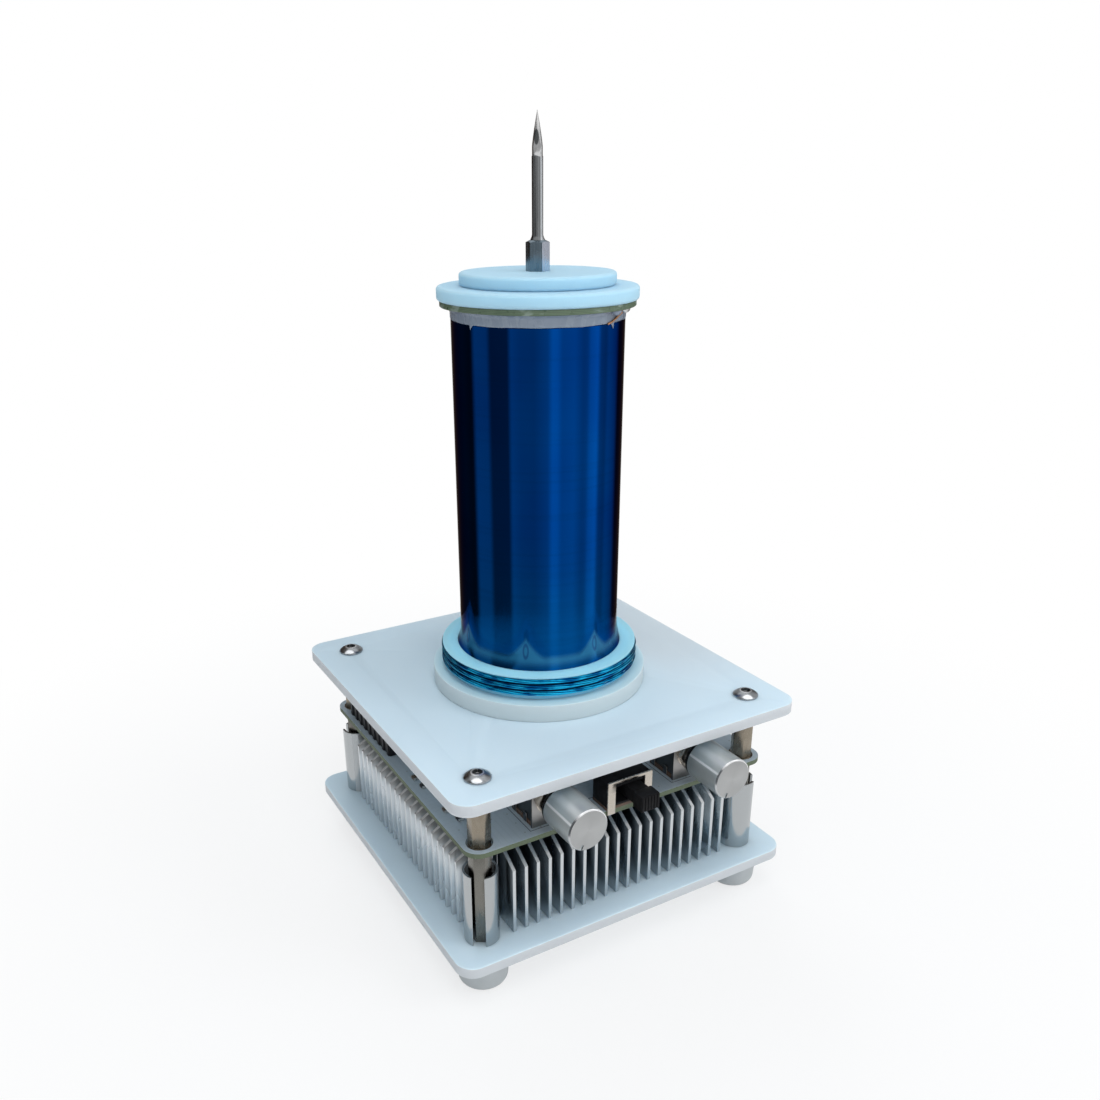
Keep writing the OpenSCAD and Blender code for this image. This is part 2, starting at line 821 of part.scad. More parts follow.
module plate_screws() {
    crown_r = (pow(button_d / 2, 2) + pow(button_h - button_rim_h, 2)) / (2 * (button_h - button_rim_h));
    color("silver") translate([0, 0, disc_z]) at_corners() difference() {
        union() {
            cylinder(r = button_d / 2, h = button_rim_h, $fn = 64);
            translate([0, 0, button_rim_h]) rotate_extrude($fn = 64) intersection() {
                translate([0, button_h - button_rim_h - crown_r]) circle(crown_r, $fn = 128);
                square([button_d / 2, button_h]);
            }
            translate([0, 0, -(plate_t + post_bite)])
                cylinder(r = thread_r, h = plate_t + post_bite + over, $fn = 48);
        }
        translate([0, 0, button_h - key_depth]) hex_bar(key_af, key_depth + over);
    }
}

// Primary: a disc, a ring with a groove, and three turns of wire whose ends turn in to two leads

function start_turn() = 90 + end_turn;
function last_turn() = 90 - end_turn;

module lead_holes(z, h) {
    for (a = [start_turn(), last_turn()])
        rotate(a) translate([lead_r, 0, z]) cylinder(r = wire_r + hole_gap, h = h, $fn = 32);
}

module primary_disc() {
    color("white") translate([0, 0, disc_z]) difference() {
        cylinder(r = primary_disc_r, h = primary_disc_t, $fn = 128);
        translate([0, 0, -over]) cylinder(r = tube_r + seat_gap, h = primary_disc_t + 2 * over, $fn = 128);
        lead_holes(-over, primary_disc_t + 2 * over);
    }
}

// A pocket in the ring's groove, in which one end of the wire turns in to its lead
module wire_pocket(a, z, side) {
    rotate(a) translate([0, 0, z - wire_r - pocket_gap])
        translate([pocket_r - wire_d, side > 0 ? -wire_r - pocket_gap : -bend_r - 2 * wire_d, 0])
            cube([ring_r, wire_r + pocket_gap + bend_r + 2 * wire_d, wire_d + pocket_gap + seat_gap]);
}

module primary_ring() {
    color("white") difference() {
        translate([0, 0, ring_z]) rotate_extrude($fn = 128)
            polygon([[tube_r + seat_gap, 0], [groove_r, 0], [groove_r, ring_h - ring_lip_t],
                     [ring_r, ring_h - ring_lip_t], [ring_r, ring_h], [tube_r + seat_gap, ring_h]]);
        wire_pocket(start_turn(), turn_z, 1);
        wire_pocket(last_turn(), turn_z + (turns - 1) * turn_pitch, -1);
        lead_holes(ring_z - over, turn_z - ring_z + over);
        rotate(last_turn()) translate([lead_r, 0, ring_z - over])
            cylinder(r = wire_r + hole_gap, h = turn_z + (turns - 1) * turn_pitch - ring_z + over, $fn = 32);
    }
}

// Height of the wire's centre at a travelled angle: level turns that climb behind the column
function smooth(u) = u <= 0 ? 0 : u >= 1 ? 1 : u * u * (3 - 2 * u);
function wire_z(a) = turn_z + turn_pitch * (turns < 2 ? 0 :
    sum([for (k = [1:turns - 1]) smooth((a - (360 * k - end_turn - climb_half)) / (2 * climb_half))]));
function sum(v, i = 0) = i >= len(v) ? 0 : v[i] + sum(v, i + 1);

wound_angle = 360 * turns - 2 * end_turn;
ring_step = 360 / rings_per_turn;
bend_steps = 4;

// The wire's centre line, from the lower lead round the ring to the upper lead. The bends
// start bend_turn away from the leads, where the circle meets them.
function on_turn(r, a, z) = [r * cos(a), r * sin(a), z];
function bend_point(a, side, u, z) =
    let (mid = on_turn(turn_r - bend_r, a + side * bend_turn, z),
         out = a + side * bend_turn,
         turn = out - side * (90 + bend_turn) * (1 - u))
    mid + [bend_r * cos(turn), bend_r * sin(turn), 0];
function end_straight(a, side, z, u) =
    let (corner = bend_point(a, side, 0, z),
         reach = norm([corner[0], corner[1]]) - pocket_r)
    corner - on_turn(reach * (1 - u), a, 0);

wire_path = concat(
    [end_straight(start_turn(), 1, wire_z(0), 0)],
    [for (i = [0:bend_steps]) bend_point(start_turn(), 1, i / bend_steps, wire_z(0))],
    [for (k = [ceil((start_turn() + bend_turn) / ring_step + ring_skip_share):
               floor((start_turn() + wound_angle - bend_turn) / ring_step - ring_skip_share)])
        on_turn(turn_r, k * ring_step, wire_z(k * ring_step - start_turn()))],
    [for (i = [bend_steps:-1:0]) bend_point(last_turn(), -1, i / bend_steps, wire_z(wound_angle))],
    [end_straight(last_turn(), -1, wire_z(wound_angle), 0)]);

// Direction of the path at each point, and the two directions square to it
function unit(v) = v / norm(v);
function ahead(p, i) = unit(p[min(i + 1, len(p) - 1)] - p[max(i - 1, 0)]);
function ring_points(p, i) =
    let (t = ahead(p, i), s = unit(cross([0, 0, 1], t)), n = cross(t, s))
    [for (k = [0:wire_sides - 1])
        let (a = 360 * (k + 0.5) / wire_sides)
        p[i] + wire_r * (cos(a) * s + sin(a) * n)];

module sweep(p) {
    points = [for (i = [0:len(p) - 1]) each ring_points(p, i)];
    last = (len(p) - 1) * wire_sides;
    walls = [for (i = [0:len(p) - 2], k = [0:wire_sides - 1])
        let (a = i * wire_sides + k, b = i * wire_sides + (k + 1) % wire_sides)
        each [[a, a + wire_sides, b + wire_sides], [a, b + wire_sides, b]]];
    ends = [for (k = [1:wire_sides - 2]) each [[0, k, k + 1], [last, last + k + 1, last + k]]];
    polyhedron(points, concat(walls, ends), convexity = 8);
}

// Least clear gap between two turns, measured on points that lie more than half a turn apart
wire_gap = turns < 2 ? turn_pitch - wire_d :
    min([for (i = [0:len(wire_path) - 1], j = [i + rings_per_turn / 2:len(wire_path) - 1])
        norm(wire_path[i] - wire_path[j])]) - wire_d;
echo(least_gap_between_turns = wire_gap);

module primary_winding() {
    color("dodgerblue") sweep(wire_path);
}

module primary_leads() {
    color("dodgerblue") {
        rotate(start_turn()) translate([lead_r, 0, board_top_z])
            cylinder(r = wire_r, h = wire_z(0) + wire_r - board_top_z, $fn = 32);
        rotate(last_turn()) translate([lead_r, 0, board_top_z])
            cylinder(r = wire_r, h = wire_z(wound_angle) + wire_r - board_top_z, $fn = 32);
    }
}

// Column

module column_tube() {
    color("whitesmoke") translate([0, 0, disc_z]) difference() {
        cylinder(r = tube_r, h = top_board_z - disc_z, $fn = 128);
        translate([0, 0, -over])
            cylinder(r = tube_r - tube_wall, h = top_board_z - disc_z + 2 * over, $fn = 128);
    }
}

module secondary_winding() {
    color("navy") translate([0, 0, ring_top_z]) ring(winding_r, tube_r, wound_l);
}

module column_flare() {
    bow = (flare_r - winding_r) * flare_bow_share;
    color("darkblue") translate([0, 0, ring_top_z]) rotate_extrude($fn = 128)
        polygon([[winding_r, 0], [flare_r, 0], [flare_r, flare_h * flare_foot_share],
                 [winding_r + bow, flare_h * flare_mid_share], [winding_r, flare_h]]);
}

module secondary_lead() {
    color("saddlebrown") {
        translate([0, inner_lead_at, board_top_z])
            cylinder(r = inner_lead_r, h = ring_top_z + inner_lead_h - board_top_z, $fn = 24);
    }
}

// Top board, cap and electrode

module top_board() {
    color("darkgreen") translate([0, 0, top_board_z]) ring(top_board_r, thread_r + hole_gap, top_board_t);
}

module top_lead() {
    color("goldenrod") rotate(top_lead_turn) {
        translate([winding_r + top_lead_r, 0, wound_top_z - top_lead_dip])
            cylinder(r = top_lead_r, h = top_lead_dip + bare_l, $fn = 24);
        translate([solder_at, 0, top_board_z]) rotate_extrude($fn = 32) intersection() {
            circle(solder_r, $fn = 48);
            translate([0, -solder_r]) square([solder_r, solder_r]);
        }
    }
}

module cap_disc(r, t) {
    difference() {
        soft_disc(r, t, cap_edge_r);
        translate([0, 0, -over]) cylinder(r = thread_r + hole_gap, h = t + 2 * over, $fn = 48);
    }
}

module cap_lower_disc() {
    color("lightcyan") translate([0, 0, cap_low_z]) cap_disc(cap_low_r, cap_low_t);
}

module cap_upper_disc() {
    color("lightcyan") translate([0, 0, cap_high_z]) cap_disc(cap_high_r, cap_high_t);
}

module electrode_holder() {
    corner_r = holder_af / sqrt(3);
    color("silver") translate([0, 0, holder_z]) difference() {
        union() {
            rotate(holder_turn) intersection() {
                hex_bar(holder_af, holder_h);
                rotate_extrude($fn = 64)
                    polygon([[0, 0], [corner_r, 0], [corner_r, holder_h - holder_bevel],
                             [corner_r - 2 * holder_bevel, holder_h], [0, holder_h]]);
            }
            translate([0, 0, -holder_stud_l]) cylinder(r = thread_r, h = holder_stud_l + over, $fn = 48);
        }
        translate([0, 0, holder_h - needle_bite])
            cylinder(r = needle_d / 2 + seat_gap, h = needle_bite + over, $fn = 48);
    }
}

module holder_nut() {
    color("silver") translate([0, 0, top_board_z - nut_h]) difference() {
        hex_bar(holder_nut_af, nut_h);
        translate([0, 0, -over]) cylinder(r = thread_r + seat_gap, h = nut_h + 2 * over, $fn = 48);
    }
}

// The needle: a root cone, a shank with a small step, and a long point that a flat is ground on
module needle_electrode() {
    r = needle_d / 2;
    tip_l = needle_l * needle_tip_share;
    point_l = needle_l * needle_point_share;
    step_r = r - needle_step;
    color("silver") translate([0, 0, needle_z]) difference() {
        rotate_extrude($fn = 64)
            polygon([[0, -needle_bite + seat_gap], [r, -needle_bite + seat_gap], [r, 0], [needle_root_r, 0],
                     [r, needle_root_h], [r, needle_l - tip_l], [step_r, needle_l - tip_l],
                     [step_r, needle_l - point_l],
                     for (i = [0:len(ogive_height_shares) - 1])
                         [step_r * ogive_radius_shares[i],
                          needle_l - point_l * (1 - ogive_height_shares[i])],
                     [0, needle_l]]);
        rotate(needle_flat_turn)
            translate([r * needle_flat_share, -needle_d, needle_l - tip_l * needle_flat_top_share])
                cube([needle_d, 2 * needle_d, tip_l * (needle_flat_top_share - needle_flat_low_share)]);
    }
}

rubber_feet();
foot_screws();
base_plate();
heatsink();
lower_posts();
thermal_pads();
power_transistors();
circuit_board();
upper_posts();
left_pot();
left_pot_nut();
left_shaft();
left_knob_core();
left_knob();
right_pot();
right_pot_nut();
right_shaft();
right_knob_core();
right_knob();
switch_frame();
switch_body();
switch_base();
switch_lever();
side_heatsink();
regulators();
storage_capacitors();
film_capacitors();
driver_chips();
power_jack();
power_jack_pin();
audio_jack();
surface_parts();
top_plate();
plate_screws();
primary_disc();
primary_ring();
primary_winding();
primary_leads();
column_tube();
secondary_winding();
column_flare();
secondary_lead();
top_board();
top_lead();
cap_lower_disc();
cap_upper_disc();
electrode_holder();
holder_nut();
needle_electrode();
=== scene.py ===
import json
import math

import bmesh
import bpy
from mathutils import Matrix, Vector


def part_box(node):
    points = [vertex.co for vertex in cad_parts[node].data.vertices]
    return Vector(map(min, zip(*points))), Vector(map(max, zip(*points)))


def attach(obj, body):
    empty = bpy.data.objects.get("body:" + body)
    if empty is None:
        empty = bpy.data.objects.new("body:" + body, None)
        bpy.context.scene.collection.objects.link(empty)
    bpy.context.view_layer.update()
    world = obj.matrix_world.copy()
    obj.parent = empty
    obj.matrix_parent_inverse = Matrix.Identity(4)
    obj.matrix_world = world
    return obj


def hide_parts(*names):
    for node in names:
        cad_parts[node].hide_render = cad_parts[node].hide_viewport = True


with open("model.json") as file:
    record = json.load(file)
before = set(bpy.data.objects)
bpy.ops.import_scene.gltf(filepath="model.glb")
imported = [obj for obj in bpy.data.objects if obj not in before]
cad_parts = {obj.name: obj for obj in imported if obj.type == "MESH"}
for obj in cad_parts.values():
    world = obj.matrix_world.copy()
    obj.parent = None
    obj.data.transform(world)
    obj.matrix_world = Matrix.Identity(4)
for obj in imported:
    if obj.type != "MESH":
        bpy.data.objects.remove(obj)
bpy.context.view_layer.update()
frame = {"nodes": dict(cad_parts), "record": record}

# Rubber feet
# Four turned-looking feet of white rubber, moulded in one piece with a deep recess from below.
# Each is held by a pan-head screw that goes up through the lower plate into a post.

MM = 0.001
node_body = {node: body for body, nodes in frame["record"]["behaviour"]["bodies"].items() for node in nodes}


class Value:
    """A socket of a node tree that can be reckoned with like a number."""

    def __init__(self, finish, socket):
        self.finish, self.socket = finish, socket

    def maths(self, operation, *others):
        return self.finish.node("Math", dict(enumerate((self, *others))), operation=operation)

    def __add__(self, other):
        return self.maths("ADD", other)

    def __sub__(self, other):
        return self.maths("SUBTRACT", other)

    def __rsub__(self, other):
        return self.maths("MULTIPLY", -1.0).maths("ADD", other)

    def __mul__(self, other):
        return self.maths("MULTIPLY", other)

    def __truediv__(self, other):
        return self.maths("DIVIDE", other)

    def __gt__(self, other):
        return self.maths("GREATER_THAN", other)

    def __lt__(self, other):
        return self.maths("LESS_THAN", other)

    def __abs__(self):
        return self.maths("ABSOLUTE")

    __radd__, __rmul__ = __add__, __mul__

    def sine(self):
        return self.maths("SINE")

    def either(self, other):
        return self.maths("MAXIMUM", other)

    def both(self, other):
        return self.maths("MINIMUM", other)

    def hypot(self, other):
        """How far a point is from the origin, when the two are its coordinates."""
        return (self * self + other * other).maths("SQRT")

    def wave(self, pitch, shift=0.0):
        """A sine between 0 and 1, with one period to each pitch."""
        return (self * (2 * math.pi / pitch) + shift).sine() * 0.5 + 0.5

    def step(self, low, high, start=0.0, end=1.0):
        """A smooth step between low and high, mapped to start and end."""
        places = {"Value": self, "From Min": low, "From Max": high, "To Min": start, "To Max": end}
        return self.finish.node("MapRange", places, interpolation_type="SMOOTHSTEP")

    def mix(self, first, second):
        """A colour that goes from the first to the second where this goes from 0 to 1."""
        return self.finish.node("Mix", {0: self, 6: first, 7: second}, out=2, data_type="RGBA")


class Finish:
    """A material, or the world. Every node but its shader comes from its method node."""

    def __init__(self, name, shader, owner=bpy.data.materials, kind="Principled BSDF"):
        self.block = owner.new(name)
        self.block.use_nodes = True
        self.tree = self.block.node_tree
        self.shader = self.tree.nodes[kind]
        for key, value in shader.items():
            self.give(key, value)

    def fill(self, socket, value):
        """Links a value to a socket or sets a constant. A colour gets its fourth number."""
        if isinstance(value, Value):
            self.tree.links.new(value.socket, socket)
        else:
            socket.default_value = (*value, 1.0) if socket.type == "RGBA" else value

    def node(self, kind, inputs, out=0, stops=(), **settings):
        made = self.tree.nodes.new("ShaderNode" + kind)
        for key, value in settings.items():
            setattr(made, key, value)
        for mark, (position, colour) in enumerate(stops):
            marks = made.color_ramp.elements
            if mark > 1:
                marks.new(position)
            marks[mark].position, marks[mark].color = position, (*colour, 1.0)
        for key, value in inputs.items():
            self.fill(made.inputs[key], value)
        return Value(self, made.outputs[out])

    def give(self, key, value):
        self.fill(self.shader.inputs[key], value)

    def vary(self, grain, dark, light, *rough):
        """Colour from dark to light with the grain, and roughness between two values where they are given."""
        self.give("Base Color", grain.mix(dark, light))
        if rough:
            self.give("Roughness", grain.step(0.3, 0.7, *rough))

    def cover(self, mask, colour):
        """Lays a colour over what Base Color has so far, where the mask is 1."""
        under = Value(self, self.shader.inputs["Base Color"].links[0].from_socket)
        self.give("Base Color", mask.mix(under, colour))

    def coordinates(self):
        return self.node("TexCoord", {}, out=3)

    def split(self, vector):
        """The three numbers of a vector."""
        first = self.node("SeparateXYZ", {0: vector})
        return [Value(self, socket) for socket in first.socket.node.outputs]

    def place(self):
        return self.split(self.coordinates())

    def normal(self):
        return self.split(self.node("NewGeometry", {}, out=1))

    def distance(self, point=(0.0, 0.0, 0.0)):
        return self.node("VectorMath", {0: self.coordinates(), 1: point}, out=1, operation="DISTANCE")

    def noise(self, size, stretch=(1.0, 1.0, 1.0), detail=3.0):
        """Noise whose grains measure about size metres, longer along an axis whose stretch is small."""
        where = self.node("VectorMath", {0: self.coordinates(), 1: stretch}, operation="MULTIPLY")
        return self.node("TexNoise", {"Vector": where, "Scale": 1 / size, "Detail": detail})

    def facing_side(self):
        """1 on upright faces, 0 on level ones."""
        return 1 - abs(self.normal()[2]).step(0.4, 0.6)

    def relief(self, height, depth):
        """Bumps of the given depth in metres where height goes from 0 to 1."""
        self.give("Normal", self.node("Bump", {"Strength": 1.0, "Distance": depth, "Height": height}))


def made_object(name, shape, finishes):
    """An object in the scene from a bmesh, with its finishes."""
    mesh = bpy.data.meshes.new(name)
    shape.to_mesh(mesh)
    shape.free()
    for finish in finishes:
        mesh.materials.append(finish.block)
    made = bpy.data.objects.new(name, mesh)
    bpy.context.scene.collection.objects.link(made)
    return made


def piece(name, shape, finishes, body="frame", replaces=(), crease=32):
    """Turns a bmesh into an object with smooth faces and creases, and hands it to a body."""
    made = made_object(name, shape, finishes)
    made.data.shade_smooth()
    made.data.set_sharp_from_angle(angle=math.radians(crease))
    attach(made, body)
    if replaces:
        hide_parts(*replaces)


def soften(shape, width, segments=2, angle=35):
    """Rounds the edges that are sharper than the angle."""
    limit = math.radians(angle)
    sharp = [e for e in shape.edges if len(e.link_faces) == 2 and e.calc_face_angle() > limit]
    bmesh.ops.bevel(shape, geom=sharp, offset=width, offset_type="OFFSET", segments=segments, profile=0.5,
                    affect="EDGES", material=-1, clamp_overlap=True)


def merged(node):
    """A copy of a CAD node's mesh whose loose triangles are joined."""
    shape = bmesh.new()
    shape.from_mesh(frame["nodes"][node].data)
    bmesh.ops.remove_doubles(shape, verts=shape.verts, dist=0.002 * MM)
    return shape


def softened(node, width, finish, segments=2, angle=35):
    """A merged copy of a CAD node with rounded edges, in the node's place."""
    shape = merged(node)
    bmesh.ops.dissolve_limit(shape, angle_limit=math.radians(0.5), verts=shape.verts, edges=shape.edges,
                             use_dissolve_boundaries=False)
    soften(shape, width, segments, angle)
    piece(node + "_soft", shape, [finish], node_body[node], [node])


rubber = Finish("white_rubber", {"Specular IOR Level": 0.35})
rubber.vary(rubber.noise(6 * MM, detail=4.0), (0.38, 0.40, 0.41), (0.48, 0.505, 0.515), 0.42, 0.6)
rubber.relief(rubber.noise(0.35 * MM, detail=2.0), 0.02 * MM)
softened("rubber_feet", 0.35 * MM, rubber, segments=3)

# Foot screws
# Nickelled pan-head machine screws with a cross recess, up in the feet's hollows.
# They clamp foot, lower plate and corner post together.

corner_at = 48 * MM
screw_steel = Finish("screw_steel", {"Metallic": 1.0})
haze = screw_steel.noise(2.5 * MM)
x, y, z = screw_steel.place()
normal = screw_steel.normal()
from_axis = (abs(x) - corner_at).hypot(abs(y) - corner_at)
on_plate = z > 60 * MM
# Painted light on the screw heads: the hexagon socket is painted darker (painted shade) and a bright ring
# round it is a painted highlight. On the plate screws, a glint on the near side of the dome and a dot in the
# socket's middle are painted highlights, and Metallic is lowered there.
socket = from_axis.step(1.3 * MM, 1.5 * MM, 1.0, 0.0) * from_axis.step(0.5 * MM, 0.8 * MM) * on_plate
rim_highlight = abs(from_axis - 1.75 * MM).step(0.1 * MM, 0.3 * MM, 1.0, 0.0)
toward_lamp = normal[0] * -0.36 + normal[1] * -0.61 + normal[2] * 0.71
glint = toward_lamp.step(0.935, 0.975) * (abs(normal[2]) < 0.93)
glint = glint.either(from_axis.step(0.3 * MM, 0.6 * MM, 0.8, 0.0)) * on_plate
screw_steel.vary(haze, (0.31, 0.33, 0.35), (0.44, 0.46, 0.48))
screw_steel.cover(rim_highlight, (0.72, 0.74, 0.76))
screw_steel.cover(socket, (0.16, 0.17, 0.18))
screw_steel.cover(glint, (0.97, 0.98, 1.0))
screw_steel.give("Metallic", 1 - rim_highlight.either(glint * 3.0) * 0.25)
screw_steel.give("Roughness", haze.step(0.25, 0.75, 0.24, 0.36))
screw_steel.relief(screw_steel.noise(0.5 * MM, detail=2.0), 0.006 * MM)
softened("foot_screws", 0.15 * MM, screw_steel)

# Lower plate
# A square of white acrylic sheet, laser cut with round corners.
# The faces are satin and the cut edge keeps fine upright ridges from the laser.


def acrylic(name, face, edge, depth=2.5 * MM):
    """Sheet acrylic: satin faces with faint wipe marks, and a laser-cut edge with fine ridges."""
    sheet = Finish(name, {"IOR": 1.49, "Specular IOR Level": 0.12, "Subsurface Weight": 0.5,
                          "Subsurface Radius": (1.0, 1.0, 1.0), "Subsurface Scale": depth})
    side = sheet.facing_side()
    cloud = sheet.noise(45 * MM, detail=2.0).step(0.3, 0.7, 0.0, 0.1)
    sheet.vary(cloud, face, tuple(0.93 * share for share in face))
    sheet.cover(side, edge)
    wipe = sheet.noise(14 * MM, stretch=(1.0, 0.35, 1.0), detail=4.0)
    ridges = sheet.noise(0.5 * MM, stretch=(1.0, 1.0, 0.04), detail=2.0)
    sheet.give("Roughness", wipe.step(0.35, 0.7, 0.5, 0.6) + side * ridges * 0.2)
    sheet.relief(side * ridges + (1 - side) * sheet.noise(5 * MM) * 0.3, 0.02 * MM)
    return sheet


plate_acrylic = acrylic("white_acrylic", (0.535, 0.665, 0.75), (0.56, 0.585, 0.61))
x, y, z = plate_acrylic.place()
level = 1 - plate_acrylic.facing_side()
# Painted light on the level faces: warmer towards the right, and lighter and bluer towards the front.
plate_acrylic.cover((x + y * 0.4).step(0.0, 45 * MM, 0.0, 0.7) * level, (0.60, 0.66, 0.70))
plate_acrylic.cover(y.step(-55 * MM, 0.0, 1.0, 0.0) * level, (0.60, 0.74, 0.83))
softened("base_plate", 0.4 * MM, plate_acrylic, segments=3)

# Heatsink
# One length of bare extruded aluminium, sawn off and bevelled on a mill.
# Fine die lines run up the fins, saw marks cross the top, and open tubes stand at the corners.

sink_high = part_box("heatsink")[1]
aluminium = Finish("bare_aluminium", {"Metallic": 1.0})
x, y, z = aluminium.place()
normal = aluminium.normal()
side = aluminium.facing_side()
die_lines = aluminium.noise(0.35 * MM, stretch=(1.0, 1.0, 0.012), detail=2.0)
saw_axle = (0.28, 0.19, 0.0)
saw_marks = aluminium.distance(saw_axle).wave(0.42 * MM, aluminium.noise(4 * MM) * 3.0)
oxide = aluminium.noise(9 * MM, stretch=(1.0, 1.0, 0.3), detail=4.0)

# Painted light on the fins: the flanks of the side fins are painted lighter, the flanks of the front fins
# dark (painted shade) and lighter towards the bottom and the right, and the fin tips lighter (painted
# highlight). The bevels of the x sides are painted a dull grey, a painted shadow lies under the board, and
# the corner tubes are painted darker (painted shade). Metallic is lowered where the side flanks and bevels
# are painted.
between = (abs(x).either(abs(y)) < sink_high.y - 0.2 * MM) * side
tips = side * (1 - between) * (abs(x).both(abs(y)) < 40 * MM)
tubes = abs(x).both(abs(y)) > 43 * MM
front_fins = (abs(y) > abs(x)) * (abs(normal[0]) > 0.7) * between
side_fins = (abs(x) > abs(y)) * (abs(normal[1]) > 0.7) * between
side_bevels = (abs(x) > abs(y)) * (abs(normal[0]) > 0.3) * (abs(normal[2]) > 0.7)
board_shadow = z.step(sink_high.z - 8 * MM, sink_high.z - 3 * MM) * side_fins
lighter = z.step(10 * MM, 30 * MM, 1.0, 0.0).either(x.step(0.0, 45 * MM))
shade = lighter.mix((0.22, 0.25, 0.275), (0.44, 0.49, 0.52))
aluminium.vary(oxide, (0.56, 0.59, 0.61), (0.68, 0.70, 0.715))
for mask, colour in ((side_fins, (0.64, 0.69, 0.725)), (front_fins, shade), (tips, (0.74, 0.77, 0.79)),
                     (side_bevels, (0.50, 0.50, 0.495)), (board_shadow * 0.9, (0.23, 0.23, 0.225)),
                     (tubes, (0.43, 0.45, 0.46))):
    aluminium.cover(mask, colour)
aluminium.give("Metallic", 1 - (side_fins * 0.5).either(side_bevels * 0.8))
aluminium.give("Roughness", oxide.step(0.3, 0.7, 0.24, 0.36) + (1 - side) * 0.06 - tubes * 0.12)
aluminium.relief(side * die_lines + (1 - side) * saw_marks, 0.012 * MM)
softened("heatsink", 0.12 * MM, aluminium, segments=1, angle=50)

# Corner posts under the board
# Hexagon bars of nickelled brass, tapped below and with a stud on top.
# They stand free in the open tubes and carry the circuit board.

post_metal = Finish("nickelled_brass", {"Metallic": 1.0})
worn = post_metal.noise(1.6 * MM, stretch=(1.0, 1.0, 0.5), detail=4.0)
post_metal.vary(worn, (0.17, 0.15, 0.11), (0.39, 0.34, 0.28), 0.18, 0.36)
# Painted shade: the posts are darker down inside the open tubes.
tube_shade = post_metal.place()[2] < 45 * MM
post_metal.cover(tube_shade * 0.6, (0.14, 0.155, 0.16))
post_metal.relief(post_metal.noise(0.25 * MM, stretch=(1.0, 1.0, 0.03), detail=2.0), 0.01 * MM)
softened("lower_posts", 0.22 * MM, post_metal)

# Power transistors and their pads
# Two moulded cases lie back down on grey silicone pads over the heatsink's core.
# Their tinned leads bend up and are soldered through the board.


def dressed(nodes, finish):
    """CAD nodes that keep their shape and get a finish."""
    for name in nodes:
        mesh = frame["nodes"][name].data
        mesh.materials.clear()
        mesh.materials.append(finish.block)


silicone = Finish("thermal_pad", {"Roughness": 0.8})
x, y, z = silicone.place()
thread = 2 * math.pi / (0.5 * MM)
silicone.vary(silicone.noise(2 * MM), (0.50, 0.51, 0.50), (0.62, 0.63, 0.61))
silicone.relief((x * thread).sine() * (y * thread).sine() * 0.5 + 0.5, 0.02 * MM)
dressed(["thermal_pads"], silicone)

epoxy = Finish("moulded_epoxy", {"Specular IOR Level": 0.4})
epoxy.vary(epoxy.noise(4 * MM), (0.022, 0.022, 0.024), (0.045, 0.045, 0.048), 0.45, 0.62)
epoxy.relief(epoxy.noise(0.3 * MM, detail=2.0), 0.02 * MM)

tin = Finish("tinned_lead", {"Metallic": 1.0})
tin.vary(tin.noise(0.6 * MM), (0.56, 0.56, 0.55), (0.74, 0.74, 0.73), 0.2, 0.42)


def about(middle, half):
    """The two ends of a length round its middle."""
    return middle - half, middle + half


def box(shape, *sides, finish=0):
    """Adds a box to a bmesh, given its two ends along x, y and z."""
    low, high = (Vector(corner) for corner in zip(*map(sorted, sides)))
    corners = bmesh.ops.create_cube(shape, size=1.0)["verts"]
    bmesh.ops.scale(shape, vec=high - low, verts=corners)
    bmesh.ops.translate(shape, vec=(low + high) / 2, verts=corners)
    for face in {f for v in corners for f in v.link_faces}:
        face.material_index = finish
    return corners


case_low, case_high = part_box("power_transistors")
board_low, board_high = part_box("circuit_board")
case_half, tab_half, lead_half, lead_pitch = 7.9 * MM, 6.9 * MM, 0.6 * MM, 5.45 * MM
case_front = case_low.y + 4 * MM
tab_z, lead_z, bend_z = (case_low.z + height * MM for height in (0.8, 2.5, 3.1))
shape = bmesh.new()
for sign in (-1, 1):
    middle = sign * (case_high.x / 2 + 0.05 * MM)
    box(shape, about(middle, case_half), (case_front, case_high.y), (tab_z, board_low.z - 0.3 * MM))
    box(shape, about(middle, tab_half), (case_front + 3 * MM, case_high.y - 0.3 * MM), (case_low.z, tab_z),
        finish=1)
    for lead in (-lead_pitch, 0.0, lead_pitch):
        wide = about(middle + lead, lead_half)
        box(shape, wide, (case_low.y, case_front), (lead_z, bend_z), finish=1)
        box(shape, wide, (case_low.y, case_low.y + lead_half), (bend_z, case_high.z), finish=1)
soften(shape, 0.25 * MM)
piece("transistor_cases", shape, [epoxy, tin], replaces=["power_transistors"])

# Circuit board
# Glass-fibre board with white solder mask, black outline print and green cut edges.
# Tracks stand out faintly under the mask, and a tinned ring lies round each post.

board = Finish("white_board", {"Specular IOR Level": 0.45})
x, y, z = board.place()
edge = board.facing_side()
pad = ((abs(x) - corner_at).hypot(abs(y) - corner_at) < 3.95 * MM) * (1 - edge)


def outline(across, at_x, at_y, half_x, half_y):
    """A printed rectangle, from its middle and its half sides in millimetres."""
    far = (abs(across - at_x * MM) - half_x * MM).either(abs(y - at_y * MM) - half_y * MM)
    return abs(far) < 0.11 * MM


def stripes(value, pitch, share):
    """Bands that cover a share of each pitch."""
    return abs((value / pitch).maths("FRACT") - 0.5) < share / 2


